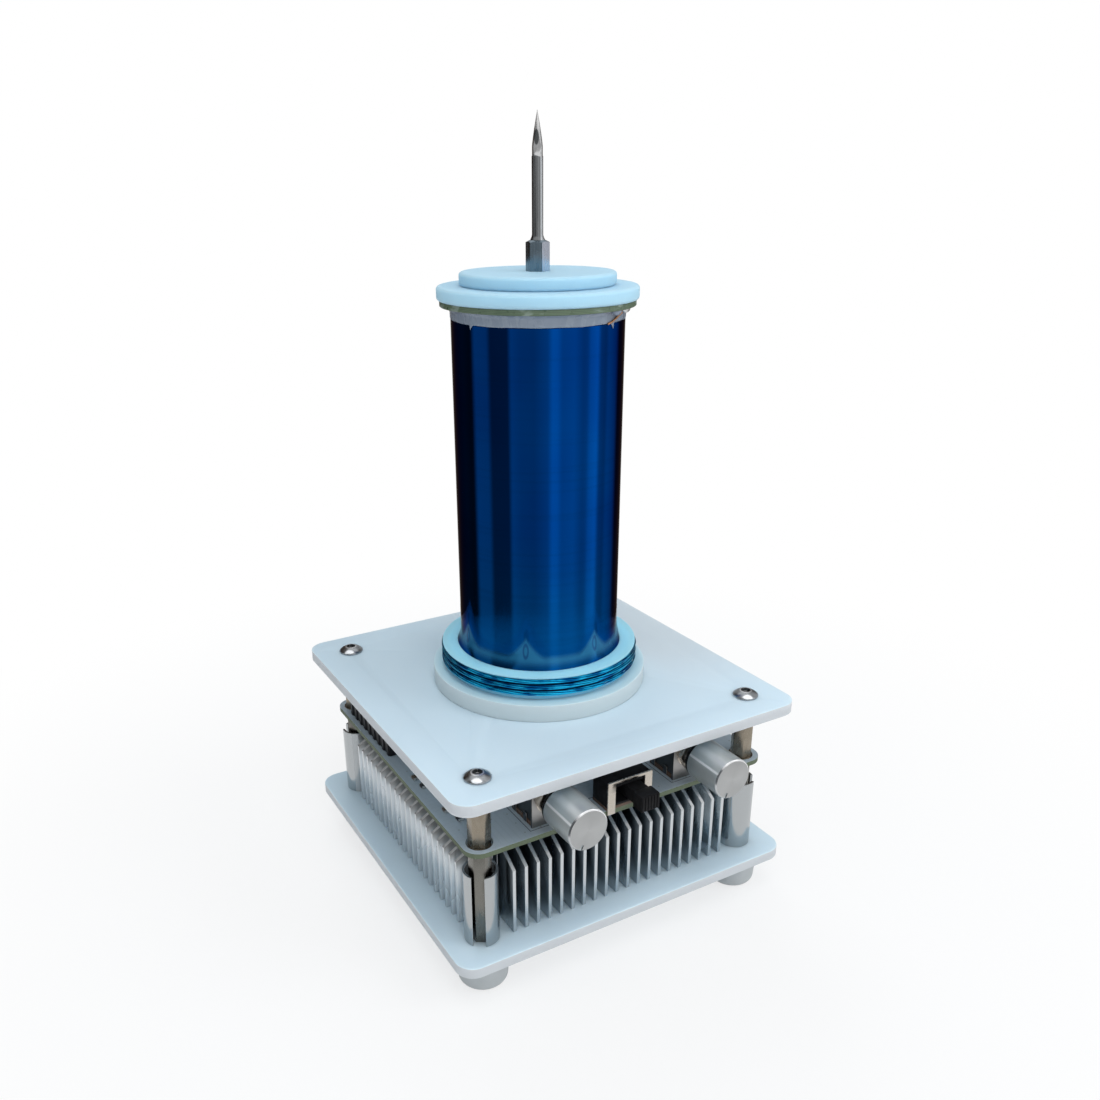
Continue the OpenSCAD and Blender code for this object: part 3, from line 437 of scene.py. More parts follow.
ink = outline(abs(x), 25.4, -43.2, 7.4, 7.6)
for printed in ((x, -0.3, -49.5, 9, 4.4), (x, -27.8, -6.4, 4.6, 9.6), (x, 35.3, 2.1, 9.4, 7.3),
                (x, 22, 46.5, 5.4, 8), (abs(x), 38, -31, 1.6, 3.2), (abs(x), 14, -36, 2.4, 1.3)):
    ink = ink.either(outline(*printed))
region = board.noise(16 * MM, detail=0.0) > 0.5
tracks = (region * stripes(x, 1.9 * MM, 0.3)).either((1 - region) * stripes(y, 1.9 * MM, 0.3))
vias = (stripes(x, 5.3 * MM, 0.09) * stripes(y, 5.3 * MM, 0.09)) * (board.noise(23 * MM) > 0.5)
weave = z.wave(0.32 * MM)
fibre = (weave * 0.6 + board.noise(0.8 * MM) * 0.4).mix((0.065, 0.09, 0.052), (0.14, 0.175, 0.11))
board.vary(tracks * 0.35, (0.435, 0.505, 0.56), (0.375, 0.45, 0.495))
board.cover(board.noise(20 * MM) * 0.25, (0.50, 0.55, 0.585))
board.cover(vias * (1 - edge) * 0.8, (0.25, 0.27, 0.26))
board.cover(ink * (1 - edge), (0.02, 0.02, 0.024))
board.cover(pad, (0.40, 0.38, 0.34))
board.cover(edge, fibre)
board.give("Metallic", pad)
board.give("Roughness", 0.3 + edge * 0.35 - pad * 0.05)
board.relief(tracks * 0.6 + pad * 0.6 + edge * weave * 0.4, 0.03 * MM)
softened("circuit_board", 0.12 * MM, board, segments=1)

# Corner posts over the board
# The same nickelled hexagon bar, tapped right through.
# Each screws down on the stud of the post below and takes a plate screw from above.

softened("upper_posts", 0.22 * MM, post_metal)

# Potentiometers
# A folded case of tinned steel stands on a brown wafer, with a threaded bushing in front.
# Four tabs are bent over the wafer and the pins go through the board.

tinned_steel = Finish("tinned_steel", {"Metallic": 1.0})
tinned_steel.vary(tinned_steel.noise(5 * MM, detail=4.0), (0.31, 0.305, 0.30), (0.46, 0.45, 0.44), 0.36, 0.5)
# Painted shade: the case's side faces, facing along x, are darker.
tinned_steel.cover(abs(tinned_steel.normal()[0]) > 0.7, (0.12, 0.13, 0.14))
tinned_steel.relief(tinned_steel.noise(0.4 * MM, stretch=(0.05, 0.05, 1.0)), 0.008 * MM)

phenolic = Finish("phenolic", {"Roughness": 0.6})
pressed = phenolic.noise(0.9 * MM, detail=4.0)
phenolic.vary(pressed, (0.075, 0.045, 0.032), (0.15, 0.095, 0.065))
phenolic.relief(pressed, 0.03 * MM)


def rod(shape, centre, radius, low, high, sides, top=None):
    """Adds an upright cylinder, or a cone if the top has another radius."""
    ends = bmesh.ops.create_cone(shape, cap_ends=True, cap_tris=False, segments=sides, radius1=radius,
                                 radius2=radius if top is None else top, depth=high - low)["verts"]
    bmesh.ops.translate(shape, vec=(centre[0], centre[1], (low + high) / 2), verts=ends)
    return ends


def swing(shape, verts, degrees, axis, to):
    """Turns vertices about an axis through the origin, and then moves them."""
    turn = Matrix.Rotation(math.radians(degrees), 3, axis)
    bmesh.ops.rotate(shape, cent=(0, 0, 0), matrix=turn, verts=verts)
    bmesh.ops.translate(shape, vec=to, verts=verts)


bushing_r, bushing_l, dome_r, pin_r = 3.5 * MM, 4.5 * MM, 4.2 * MM, 0.45 * MM
can_half, wafer_half, plate_half, sheet_t = 6 * MM, 6.2 * MM, 6.5 * MM, 0.9 * MM
for name in ("left_pot", "right_pot"):
    low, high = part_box(name)
    middle = (low.x + high.x) / 2
    front = low.y + bushing_l
    floor_z = board_high.z
    wafer_z, tab_low, tab_high, axis_z = (floor_z + height * MM for height in (1.6, 0.3, 3.2, 9.1))
    shape = bmesh.new()
    box(shape, about(middle, can_half), (front + 1 * MM, high.y), (wafer_z, floor_z + 15 * MM))
    box(shape, about(middle, wafer_half), (front + sheet_t, high.y), (floor_z, wafer_z), finish=1)
    box(shape, about(middle, plate_half), (front, front + sheet_t), (floor_z, high.z))
    for tab_x in (-6.3 * MM, 6.3 * MM):
        for tab_y in (front + 3.4 * MM, front + 9.6 * MM):
            box(shape, about(middle + tab_x, 0.2 * MM), (tab_y, tab_y + 1.8 * MM), (tab_low, tab_high))
    dome = rod(shape, (0.0, 0.0), dome_r, -0.3 * MM, 0.3 * MM, 48, top=dome_r - 0.4 * MM)
    swing(shape, dome, -90, "X", (middle, high.y, axis_z))
    bushing = rod(shape, (0.0, 0.0), bushing_r, 0.0, bushing_l, 48)
    swing(shape, bushing, 90, "X", (middle, front, axis_z))
    for pin in (-4 * MM, 0.0, 4 * MM):
        rod(shape, (middle + pin, front + 3 * MM), pin_r, low.z, floor_z + 1 * MM, 12)
    soften(shape, 0.18 * MM)
    piece(name + "_case", shape, [tinned_steel, phenolic], replaces=[name])

# Nuts, washers and shafts of the potentiometers
# A nickelled washer and thin hexagon nut clamp each bushing, and a shaft of 6 mm turns in it.
# They sit behind the knobs and show only from the side.

nickel = Finish("nickel_plate", {"Metallic": 1.0})
nickel.vary(nickel.noise(3 * MM, detail=4.0), (0.45, 0.40, 0.34), (0.64, 0.60, 0.54), 0.18, 0.36)
nickel.relief(nickel.noise(0.5 * MM, stretch=(0.1, 1.0, 1.0), detail=2.0), 0.006 * MM)
for name in ("left_pot_nut", "right_pot_nut"):
    softened(name, 0.2 * MM, nickel)

shaft_metal = Finish("shaft_metal", {"Metallic": 1.0, "Roughness": 0.28})
tool_marks = shaft_metal.noise(0.3 * MM, stretch=(0.05, 1.0, 0.05), detail=2.0)
shaft_metal.vary(tool_marks, (0.60, 0.60, 0.61), (0.74, 0.74, 0.75))
shaft_metal.relief(tool_marks, 0.01 * MM)
for name in ("left_shaft", "right_shaft"):
    softened(name, 0.3 * MM, shaft_metal)

# Knobs
# Solid-looking caps turned from aluminium and clear anodised, pressed on black plastic cores.
# The end face has fine rings from the lathe, a chamfer with a painted highlight and painted shade, and a
# small milled index notch.

black_plastic = Finish("black_plastic", {"Specular IOR Level": 0.07})
matt = black_plastic.noise(0.4 * MM, detail=2.0)
black_plastic.vary(matt, (0.006, 0.006, 0.007), (0.015, 0.015, 0.016))
black_plastic.give("Roughness", black_plastic.noise(5 * MM).step(0.3, 0.7, 0.32, 0.5))
black_plastic.relief(matt, 0.015 * MM)

for name in ("left_knob", "right_knob"):
    low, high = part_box(name)
    centre = (low + high) / 2
    knob_metal = Finish(name + "_aluminium", {"Metallic": 1.0})
    x, y, z = (place - middle for place, middle in zip(knob_metal.place(), centre))
    face = y < (low.y - centre.y + 0.15 * MM)
    rings = x.hypot(z).wave(0.28 * MM, knob_metal.noise(3 * MM) * 2.0)
    fan = x.maths("ARCTAN2", z).wave(math.pi, 0.9)
    groove = knob_metal.noise(0.2 * MM, stretch=(0.02, 1.0, 0.02), detail=2.0)
    soft = knob_metal.noise(7 * MM)

    normal = knob_metal.normal()
    chamfer = (abs(normal[1]) > 0.25) * (abs(normal[1]) < 0.93)
    # Painted light by the surface's direction in the world: two white highlight streaks along the flank, and
    # on the chamfer a painted highlight and a dark painted reflection. Metallic is lowered on the flank so
    # that they show.
    tilt = (0.0 - normal[0]).maths("ARCTAN2", normal[2])
    streak = abs(tilt - 1.04).step(0.02, 0.09, 1.0, 0.0)
    sheen = abs(tilt - 0.5).step(0.04, 0.3, 0.3, 0.0)
    lit = tilt.step(0.35, 0.7, 1.0, 0.0) * tilt.step(-1.7, -1.0)
    chamfer_shading = abs(tilt - 1.15).step(0.3, 0.5, 1.0, 0.0).mix((0.5, 0.51, 0.52), (0.12, 0.13, 0.14))
    knob_metal.vary(soft, (0.38, 0.42, 0.43), (0.49, 0.53, 0.54))
    knob_metal.cover(streak.either(sheen), (0.96, 0.98, 1.0))
    knob_metal.cover(face, soft.mix((0.38, 0.39, 0.395), (0.50, 0.505, 0.505)))
    knob_metal.cover(chamfer, lit.mix(chamfer_shading, (0.96, 0.97, 0.98)))
    knob_metal.give("Metallic", 0.55 + face * 0.45)
    knob_metal.give("Roughness", 0.26 - chamfer * 0.12 + face * (0.03 + fan * 0.16) + soft * 0.06)
    knob_metal.relief(face * rings * 0.15 + (1 - face) * groove * (1 - chamfer), 0.09 * MM)
    softened(name, 0.14 * MM, knob_metal)
    softened(name + "_core", 0.15 * MM, black_plastic)

# Slide switch
# A nickelled steel frame stands over the board's edge in front of a black moulded body.
# The body sits on a brown phenolic base, and a black lever with a grooved front slides in its channel.

softened("switch_frame", 0.12 * MM, nickel)
softened("switch_body", 0.15 * MM, black_plastic)
softened("switch_base", 0.05 * MM, phenolic)

low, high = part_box("switch_lever")
groove_d, ribs, grip_d, stem_inset = 0.3 * MM, 6, 4.6 * MM, 0.55 * MM
rib_pitch = (high.x - low.x) / ribs
shape = bmesh.new()
box(shape, (low.x + stem_inset, high.x - stem_inset), (low.y + grip_d - 0.2 * MM, high.y),
    (low.z + 0.45 * MM, high.z - 0.45 * MM))
box(shape, (low.x, high.x), (low.y + groove_d, low.y + grip_d), (low.z, high.z))
for rib in range(ribs):
    box(shape, (low.x + (rib + 0.14) * rib_pitch, low.x + (rib + 0.86) * rib_pitch),
        (low.y, low.y + 2 * groove_d), (low.z + 0.15 * MM, high.z - 0.25 * MM))
soften(shape, 0.1 * MM)
piece("lever_grip", shape, [black_plastic], body="lever", replaces=["switch_lever"])

# Black heatsink and its regulators
# A short black anodised extrusion stands at the board's left edge, fins outwards.
# Two voltage regulators lean on its back with their metal tabs.

anodised = Finish("black_anodised", {"Metallic": 0.3, "Specular IOR Level": 0.15})
anodised.vary(anodised.noise(3 * MM, detail=4.0), (0.010, 0.011, 0.013), (0.028, 0.029, 0.033), 0.34, 0.52)
anodised.relief(anodised.noise(0.35 * MM, stretch=(1.0, 1.0, 0.02), detail=2.0), 0.015 * MM)
low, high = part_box("side_heatsink")
shape = merged("side_heatsink")
soften(shape, 0.15 * MM)
box(shape, (low.x + 0.4 * MM, high.x - 0.4 * MM), (low.y + 0.2 * MM, high.y - 0.2 * MM),
    (low.z + 0.1 * MM, high.z - 0.5 * MM))
piece("black_fins", shape, [anodised], replaces=["side_heatsink"])

low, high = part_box("regulators")
case_w, case_z = 10 * MM, low.z + 3 * MM
tab_back = low.x + 1.3 * MM
shape = bmesh.new()
for start in (low.y, high.y - case_w):
    wide = (start, start + case_w)
    box(shape, (low.x, tab_back), wide, (case_z, high.z), finish=1)
    box(shape, (tab_back, high.x), wide, (case_z, low.z + 9.4 * MM))
    for lead in (-2.54 * MM, 0.0, 2.54 * MM):
        box(shape, about(low.x + 2.5 * MM, 0.25 * MM), about(start + case_w / 2 + lead, 0.4 * MM),
            (low.z, case_z), finish=1)
soften(shape, 0.15 * MM)
piece("regulator_cases", shape, [epoxy, tin], replaces=["regulators"])

# Storage capacitors
# Two aluminium cans in a shrunk dark sleeve with a pale stripe, pressed-in groove below.
# The bare top has a cross-shaped vent score.

low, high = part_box("storage_capacitors")
can_r = (high.x - low.x) / 2
can_x = (low.x + high.x) / 2
sleeve = Finish("can_sleeve", {})
sleeve.vary(sleeve.noise(6 * MM, detail=2.0), (0.012, 0.016, 0.05), (0.03, 0.036, 0.09), 0.2, 0.36)
sleeve.cover((sleeve.place()[0] - can_x) > can_r * 0.82, (0.55, 0.57, 0.6))
can_top = Finish("can_top", {"Metallic": 1.0, "Roughness": 0.35})
dents = can_top.noise(0.5 * MM, detail=2.0)
can_top.vary(dents, (0.64, 0.64, 0.65), (0.76, 0.76, 0.77))
can_top.relief(dents, 0.01 * MM)


def turned(shape, centre, profile, sides=64, finish=0):
    """Spins a profile of radius and height round an upright axis."""
    before = set(shape.faces)
    line = [shape.verts.new((centre[0] + radius, centre[1], z)) for radius, z in profile]
    edges = [shape.edges.new(pair) for pair in zip(line, line[1:])]
    bmesh.ops.spin(shape, geom=line + edges, axis=(0, 0, 1), cent=(centre[0], centre[1], 0), steps=sides,
                   angle=2 * math.pi, use_merge=True, use_duplicate=False)
    verts = {v for f in shape.faces if f not in before for v in f.verts}
    bmesh.ops.remove_doubles(shape, verts=list(verts), dist=0.001 * MM)
    faces = [f for f in shape.faces if f not in before]
    bmesh.ops.recalc_face_normals(shape, faces=faces)
    for face in faces:
        face.material_index = finish


lid_z = high.z - 0.3 * MM
wall = [(can_r - inset * MM, z) for inset, z in (
    (0.5, low.z), (0.0, low.z + 0.5 * MM), (0.0, low.z + 1.7 * MM), (0.35, low.z + 2.2 * MM),
    (0.0, low.z + 2.7 * MM), (0.0, high.z - 0.7 * MM), (0.2, high.z - 0.25 * MM), (0.7, high.z),
    (1.1, high.z - 0.05 * MM), (1.3, lid_z))]
shape = bmesh.new()
for can_y in (high.y - can_r, low.y + can_r):
    turned(shape, (can_x, can_y), [(0.0, low.z), *wall])
    turned(shape, (can_x, can_y), [(can_r - 1.25 * MM, high.z - 0.6 * MM), (can_r - 1.3 * MM, lid_z),
                                   (0.0, lid_z)], finish=1)
    for turn in (45, 135):
        score = box(shape, about(0.0, 3.6 * MM), about(0.0, 0.1 * MM), (-0.32 * MM, -0.22 * MM), finish=1)
        swing(shape, score, turn, "Z", (can_x, can_y, high.z))
piece("capacitor_cans", shape, [sleeve, can_top], replaces=["storage_capacitors"])

# Film capacitors
# Two blocks of wound film, dipped in glossy red-brown resin, soft at every edge.
# They stand on the board, and the current of the primary passes through them.

dip = Finish("film_red", {"Roughness": 0.22})
sag = dip.noise(5 * MM)
dip.vary(sag, (0.34, 0.035, 0.022), (0.50, 0.065, 0.04))
dip.relief(sag, 0.25 * MM)
softened("film_capacitors", 1.4 * MM, dip, segments=4)

# Driver and timer chips
# Moulded cases with two rows of bent tin legs and a half-round notch at one end.
# The long one drives the power transistors and the two short ones keep time.

low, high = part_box("driver_chips")
board_w = board_high.x - board_low.x
leg_pitch, case_half, leg_out = 2.54 * MM, 3.2 * MM, 3.8 * MM
shape = bmesh.new()
for share_x, share_y, pairs in ((-0.26, -0.06, 7), (-0.1, 0.1, 4), (0.06, 0.1, 4)):
    x, y = share_x * board_w, share_y * board_w
    half = pairs * leg_pitch / 2
    box(shape, about(x, case_half), about(y, half), (low.z + 0.6 * MM, high.z))
    rod(shape, (x, y + half - 0.9 * MM), 0.7 * MM, high.z - 0.02 * MM, high.z + 0.01 * MM, 24)
    for leg in range(pairs):
        leg_y = y + (leg - (pairs - 1) / 2) * leg_pitch
        for sign in (-1, 1):
            for inner, half_w, bottom, top in ((3.15, 0.65, 1.9, 2.2), (3.5, 0.65, 0.9, 2.0),
                                               (3.5, 0.25, 0.0, 0.9)):
                box(shape, (x + sign * inner * MM, x + sign * leg_out), about(leg_y, half_w * MM),
                    (low.z + bottom * MM, low.z + top * MM), finish=1)
soften(shape, 0.1 * MM, segments=1)
piece("chip_cases", shape, [epoxy, tin], replaces=["driver_chips"])

# Power jack and audio jack
# Black moulded sockets at the rear edge: a barrel jack with a centre pin and a 3.5 mm socket.
# Both are soldered to the board, and the pin is nickelled like the switch frame.

softened("power_jack", 0.3 * MM, black_plastic)
softened("audio_jack", 0.25 * MM, black_plastic)
softened("power_jack_pin", 0.25 * MM, nickel)

# Small soldered parts
# Fired ceramic chips and moulded ones, each between two tinned ends.
# They are laid on the board's white face and soldered in an oven.

ceramic = Finish("ceramic_parts", {"Roughness": 0.4})
fired = ceramic.noise(0.5 * MM)
ceramic.vary(fired, (0.08, 0.06, 0.045), (0.16, 0.125, 0.095))
ceramic.relief(fired, 0.01 * MM)
chip_shares = ((-0.467, -0.075), (-0.464, -0.127), (-0.461, -0.271), (-0.447, -0.327), (-0.36, -0.19),
               (-0.36, -0.05), (0.19, -0.26), (0.11, -0.3), (0.34, -0.22), (0.4, 0.2))
shape = bmesh.new()
for order, (share_x, share_y) in enumerate(chip_shares):
    x, y, z = share_x * board_w, share_y * board_w, board_high.z
    box(shape, about(x, 0.85 * MM), about(y, 0.95 * MM), (z, z + 0.88 * MM), finish=order % 2)
    for sign in (-1, 1):
        ends = (y + sign * 0.9 * MM, y + sign * 1.4 * MM)
        box(shape, about(x, 0.9 * MM), ends, (z, z + 0.9 * MM), finish=2)
soften(shape, 0.12 * MM)
piece("soldered_chips", shape, [ceramic, epoxy, tin], replaces=["surface_parts"])

# Upper plate
# The same white sheet as below, with holes for the leads that go down to the board.
# It lies on the four upper posts.

softened("top_plate", 0.4 * MM, plate_acrylic, segments=3)

# Plate screws
# Nickelled button-head screws with a hexagon socket, one over each post.
# They hold the upper plate down; their domed rims shine, with a painted glint on the near side.

softened("plate_screws", 0.12 * MM, screw_steel, angle=50)

# Disc and ring of the primary
# A disc of cream acrylic lies on the upper plate and a pale blue ring with a groove on it.
# Both are cut from sheet and glued round the column.

blue_light_start, blue_light_end = 31.5 * MM, 38 * MM
disc_acrylic = acrylic("cream_acrylic", (0.60, 0.69, 0.725), (0.65, 0.635, 0.62))
x, y, z = disc_acrylic.place()
# Painted light: the disc is painted blue next to the ring, fading out outwards.
disc_acrylic.cover(x.hypot(y).step(blue_light_start, blue_light_end, 0.55, 0.0), (0.30, 0.63, 0.77))
softened("primary_disc", 0.5 * MM, disc_acrylic, segments=3)

wire_low, wire_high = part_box("primary_winding")
ring_acrylic = acrylic("ring_acrylic", (0.34, 0.74, 0.97), (0.25, 0.58, 0.80))
x, y, z = ring_acrylic.place()
groove_r, groove_gap = 32 * MM, 0.1 * MM
# Painted shade: the groove behind the wire is painted near black.
groove = (x.hypot(y) < groove_r) * (z > wire_low.z - groove_gap) * (z < wire_high.z + groove_gap)
ring_acrylic.cover(groove, (0.0, 0.02, 0.07))
softened("primary_ring", 0.08 * MM, ring_acrylic)

# Primary wire
# Three turns of a loose twist of blue enamelled strands, laid one over the other in the groove.
# The strands glint where they lie outside, and dark gaps show between them and the turns.

enamel = Finish("blue_wire", {"Metallic": 1.0})
lacquer = enamel.noise(5 * MM, stretch=(1.0, 1.0, 3.0), detail=2.0)
enamel.vary(lacquer.step(0.34, 0.58), (0.0, 0.14, 0.41), (0.02, 0.55, 0.88))
enamel.give("Roughness", lacquer.step(0.3, 0.7, 0.1, 0.2))

turns, turn_pitch, wire_r = 3, 2.05 * MM, 0.75 * MM
turn_r, bend_r, end_turn, climb_half = 31.2 * MM, 1.8 * MM, 26.0, 20.0
first_z = wire_low.z + 0.72 * MM
start_angle, wound = 90.0 + end_turn, 360.0 * turns - 2 * end_turn
lead_top_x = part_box("primary_leads")[1].x
bend = math.asin(bend_r / (turn_r - bend_r))
strands, strand_r, lay = 5, 0.24 * MM, 62 * MM


def polar(radius, angle, z=0.0):
    """A point from its distance and angle round the upright axis."""
    return Vector((radius * math.cos(angle), radius * math.sin(angle), z))


def centre_line(travel):
    """The wire's centre at a travelled angle, level and climbing only behind the column."""
    z = first_z
    for level in range(1, turns):
        share = (travel - (360 * level - end_turn - climb_half)) / (2 * climb_half)
        share = min(1.0, max(0.0, share))
        z += turn_pitch * share * share * (3 - 2 * share)
    return polar(turn_r, math.radians(start_angle + travel), z)


def lead_end(travel, sign):
    """Points from the lead straight along the radius and round a bend into the groove."""
    angle = math.radians(start_angle + travel)
    z = centre_line(travel).z
    middle = polar(turn_r - bend_r, angle + sign * bend, z)
    points = [polar(lead_top_x - wire_r, angle, z)]
    for share in range(7):
        points.append(middle + polar(bend_r, angle + sign * (bend - (math.pi / 2 + bend) * (1 - share / 6))))
    return points


bend_deg = math.degrees(bend)
steps = 520
path = lead_end(0.0, 1)
path += [centre_line(bend_deg + (wound - 2 * bend_deg) * step / steps) for step in range(1, steps)]
path += lead_end(wound, -1)[::-1]
lengths = [0.0]
for a, b in zip(path, path[1:]):
    lengths.append(lengths[-1] + (b - a).length)


def strand(number):
    """The points of one strand, wound round the wire's centre line."""
    points = []
    for spot, (here, length) in enumerate(zip(path, lengths)):
        ahead = (path[min(spot + 1, len(path) - 1)] - path[max(spot - 1, 0)]).normalized()
        out = Vector((0, 0, 1)).cross(ahead).normalized()
        phase = 2 * math.pi * (length / lay + number / strands)
        off = math.cos(phase) * out + math.sin(phase) * ahead.cross(out)
        points.append(here + (wire_r - strand_r) * off)
    return points


def wires(name, kind, radius, resolution, lines):
    """A bmesh of round wires along lines of points, by way of a curve."""
    curve = bpy.data.curves.new(name, "CURVE")
    curve.dimensions, curve.use_fill_caps = "3D", True
    curve.bevel_depth, curve.bevel_resolution = radius, resolution
    for points in lines:
        line = curve.splines.new(kind)
        line.points.add(len(points) - 1)
        line.use_endpoint_u = True
        for spot, point in zip(line.points, points):
            spot.co = (*point, 1.0)
    drawn = bpy.data.objects.new(name + "_curve", curve)
    bpy.context.scene.collection.objects.link(drawn)
    bpy.context.view_layer.update()
    shape = bmesh.new()
    shape.from_mesh(drawn.to_mesh())
    drawn.to_mesh_clear()
    bpy.data.objects.remove(drawn)
    bmesh.ops.recalc_face_normals(shape, faces=shape.faces)
    return shape


shape = wires("primary_strands", "POLY", strand_r, 2, [strand(number) for number in range(strands)])
piece("primary_strands", shape, [enamel], replaces=["primary_winding"], crease=60)
softened("primary_leads", 0.1 * MM, enamel)

# Column
# A plastic tube wound with one close layer of deep blue enamelled wire under clear lacquer.
# The turns are too fine to count by eye and smear every reflection into an upright band.

tube_plastic = Finish("tube_plastic", {"Roughness": 0.4})
extruded = tube_plastic.noise(2 * MM, stretch=(1.0, 1.0, 0.05))
tube_plastic.vary(extruded, (0.56, 0.60, 0.64), (0.68, 0.71, 0.74))
tube_plastic.relief(extruded, 0.02 * MM)
softened("column_tube", 0.15 * MM, tube_plastic)

foot_low, foot_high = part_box("column_flare")
foot_r, foot_h = foot_high.x, foot_high.z - foot_low.z
peaks, peak_angle, peak_narrow, peak_power = 7, -129.4, 1.9, 1.5
creep, peak_creep = 0.40, 0.52
wound_wire = Finish("lacquered_winding", {"Specular Tint": (0.5, 0.4, 0.35)})
x, y, z = wound_wire.place()
bands = wound_wire.noise(1.6 * MM, stretch=(0.02, 0.02, 1.0), detail=4.0)
slow = wound_wire.noise(30 * MM, stretch=(1.0, 1.0, 0.7), detail=2.0)
round_it = y.maths("ARCTAN2", x) * (peaks / (2 * math.pi)) + (0.5 - peak_angle * peaks / 360)
near = abs(round_it.maths("FRACT") - 0.5) * 2.0
climb = creep + (1 - near * peak_narrow).either(0.0).maths("POWER", peak_power) * peak_creep
up = (z - foot_low.z) / foot_h
film = (up - climb).step(-0.2, 0.03, 1.0, 0.0) * up.step(0.02, 0.3)
# A dark loop drawn at each peak of the lacquer.
dark_loop = (near / 0.075).hypot((up - 0.5) / 0.2)
dark_loop = abs(dark_loop - 0.85).step(0.1, 0.4, 1.0, 0.0)
wound_wire.vary(slow.step(0.3, 0.7), (0.0, 0.04, 0.24), (0.0, 0.058, 0.28))
# Over the base tone: the lower part is painted lighter and greener up to 135 mm (painted light), then darker
# bands of turns, the lacquer film, and dark loops at the peaks.
for mask, colour in ((z.step(0.085, 0.135, 0.6, 0.0), (0.001, 0.09, 0.27)),
                     (bands.step(0.5, 0.75, 0.0, 0.18), (0.0, 0.03, 0.12)),
                     (film * 0.65, (0.025, 0.21, 0.37)), (dark_loop * 0.6, (0.0, 0.03, 0.14))):
    wound_wire.cover(mask, colour)
wound_wire.give("Metallic", 1 - film * 0.5)
wound_wire.give("Roughness", bands.step(0.3, 0.7, 0.04, 0.09) + film * 0.12)
wound_wire.relief(z.wave(0.3 * MM) * 0.6 + bands * 0.3, 0.008 * MM)

low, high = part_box("secondary_winding")
winding_r = high.x
inner_r = winding_r - 0.3 * MM
shape = bmesh.new()
turned(shape, (0, 0), [(inner_r, low.z), (winding_r, low.z), (winding_r, high.z - 0.15 * MM),
                       (inner_r, high.z)], sides=160)
piece("wound_layer", shape, [wound_wire], replaces=["secondary_winding"])

# Lacquer foot of the column
# Seven clips held the tube while the lacquer set: it crept up at each of them in a point.
# The foot flares out on to the ring and holds the column there.

skin_r, rows, flare_power, lip_h = winding_r + 0.02 * MM, 20, 2.6, 0.1 * MM
shape = bmesh.new()
turned(shape, (0, 0), [(winding_r, foot_low.z + foot_h * row / rows) for row in range(rows + 1)], sides=280)
for vert in shape.verts:
    angle = math.degrees(math.atan2(vert.co.y, vert.co.x)) - peak_angle
    near = abs((angle * peaks / 360 + 0.5) % 1 - 0.5) * 2
    climb = foot_h * (creep + peak_creep * max(0.0, 1 - near * peak_narrow) ** peak_power)
    share = min(1.0, (vert.co.z - foot_low.z) / climb)
    bulge = (1 - share) ** flare_power
    lip = lip_h * math.sin(math.pi * share) * (1 - share)
    vert.co.xy = vert.co.xy.normalized() * (skin_r + (foot_r - skin_r) * bulge + lip)
piece("lacquer_foot", shape, [wound_wire], replaces=["column_flare"], crease=70)

# Lower lead of the winding
# Bare copper wire inside the tube, down through the plate to the board.
# It carries the winding's lower end to its solder joint.

copper = Finish("copper_wire", {"Metallic": 1.0})
copper.vary(copper.noise(1.5 * MM), (0.55, 0.26, 0.13), (0.74, 0.40, 0.22), 0.2, 0.42)
dressed(["secondary_lead"], copper)

# Round board on the column
# A ring of bare glass-fibre board glued to the tube's end, with a green edge.
# The glue shows below it as a milky band with drips, and the winding's end is soldered at the right.

green_board = Finish("green_board", {})
layers = green_board.place()[2].wave(0.4 * MM) * green_board.facing_side()
blotch = green_board.noise(3.5 * MM)
smear = green_board.noise(7 * MM, stretch=(1.0, 1.0, 3.0)).step(0.52, 0.62)
green_board.vary(blotch, (0.035, 0.062, 0.035), (0.095, 0.14, 0.08), 0.25, 0.55)
green_board.cover(smear * 0.55, (0.30, 0.36, 0.33))
green_board.cover(layers * 0.35, (0.24, 0.32, 0.22))
green_board.relief(layers + blotch * 0.3, 0.02 * MM)
softened("top_board", 0.12 * MM, green_board, segments=1)

glue = Finish("clear_glue", {"Alpha": 0.85})
milk = glue.noise(2.2 * MM, stretch=(1.0, 1.0, 0.3))
glue.vary(milk, (0.20, 0.245, 0.32), (0.29, 0.34, 0.41), 0.12, 0.4)
glue.relief(milk, 0.2 * MM)
band_low, band_high = high.z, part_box("top_board")[0].z
shape = bmesh.new()
turned(shape, (0, 0), [(winding_r + out * MM, z) for out, z in (
    (-0.4, band_low - 0.1 * MM), (0.02, band_low), (0.12, band_low + 0.6 * MM), (0.15, band_low + 2 * MM),
    (0.6, band_high - 0.7 * MM), (1.9, band_high))], sides=360)
drips = ((-167.0, 1.3), (-66.0, 1.6), (20.0, 0.8), (105.0, 1.2))
drip_half_deg, drip_bulge, wave_h = 1.6, 0.3 * MM, 0.05 * MM
for vert in shape.verts:
    angle = math.degrees(math.atan2(vert.co.y, vert.co.x))
    wave = wave_h * (math.sin(math.radians(5 * angle)) + math.sin(math.radians(13 * angle + 40)))
    vert.co.z += wave * (vert.co.z < band_low + 1 * MM)
    for drip_angle, depth in drips:
        close = abs((angle - drip_angle + 180) % 360 - 180) / drip_half_deg
        if close < 1 and vert.co.z < band_low + 0.8 * MM and vert.co.xy.length > winding_r:
            vert.co.z -= depth * MM * (1 - close * close) ** 2
            vert.co.xy = vert.co.xy.normalized() * (winding_r + drip_bulge * (1 - close))
piece("glue_band", shape, [glue], crease=80)

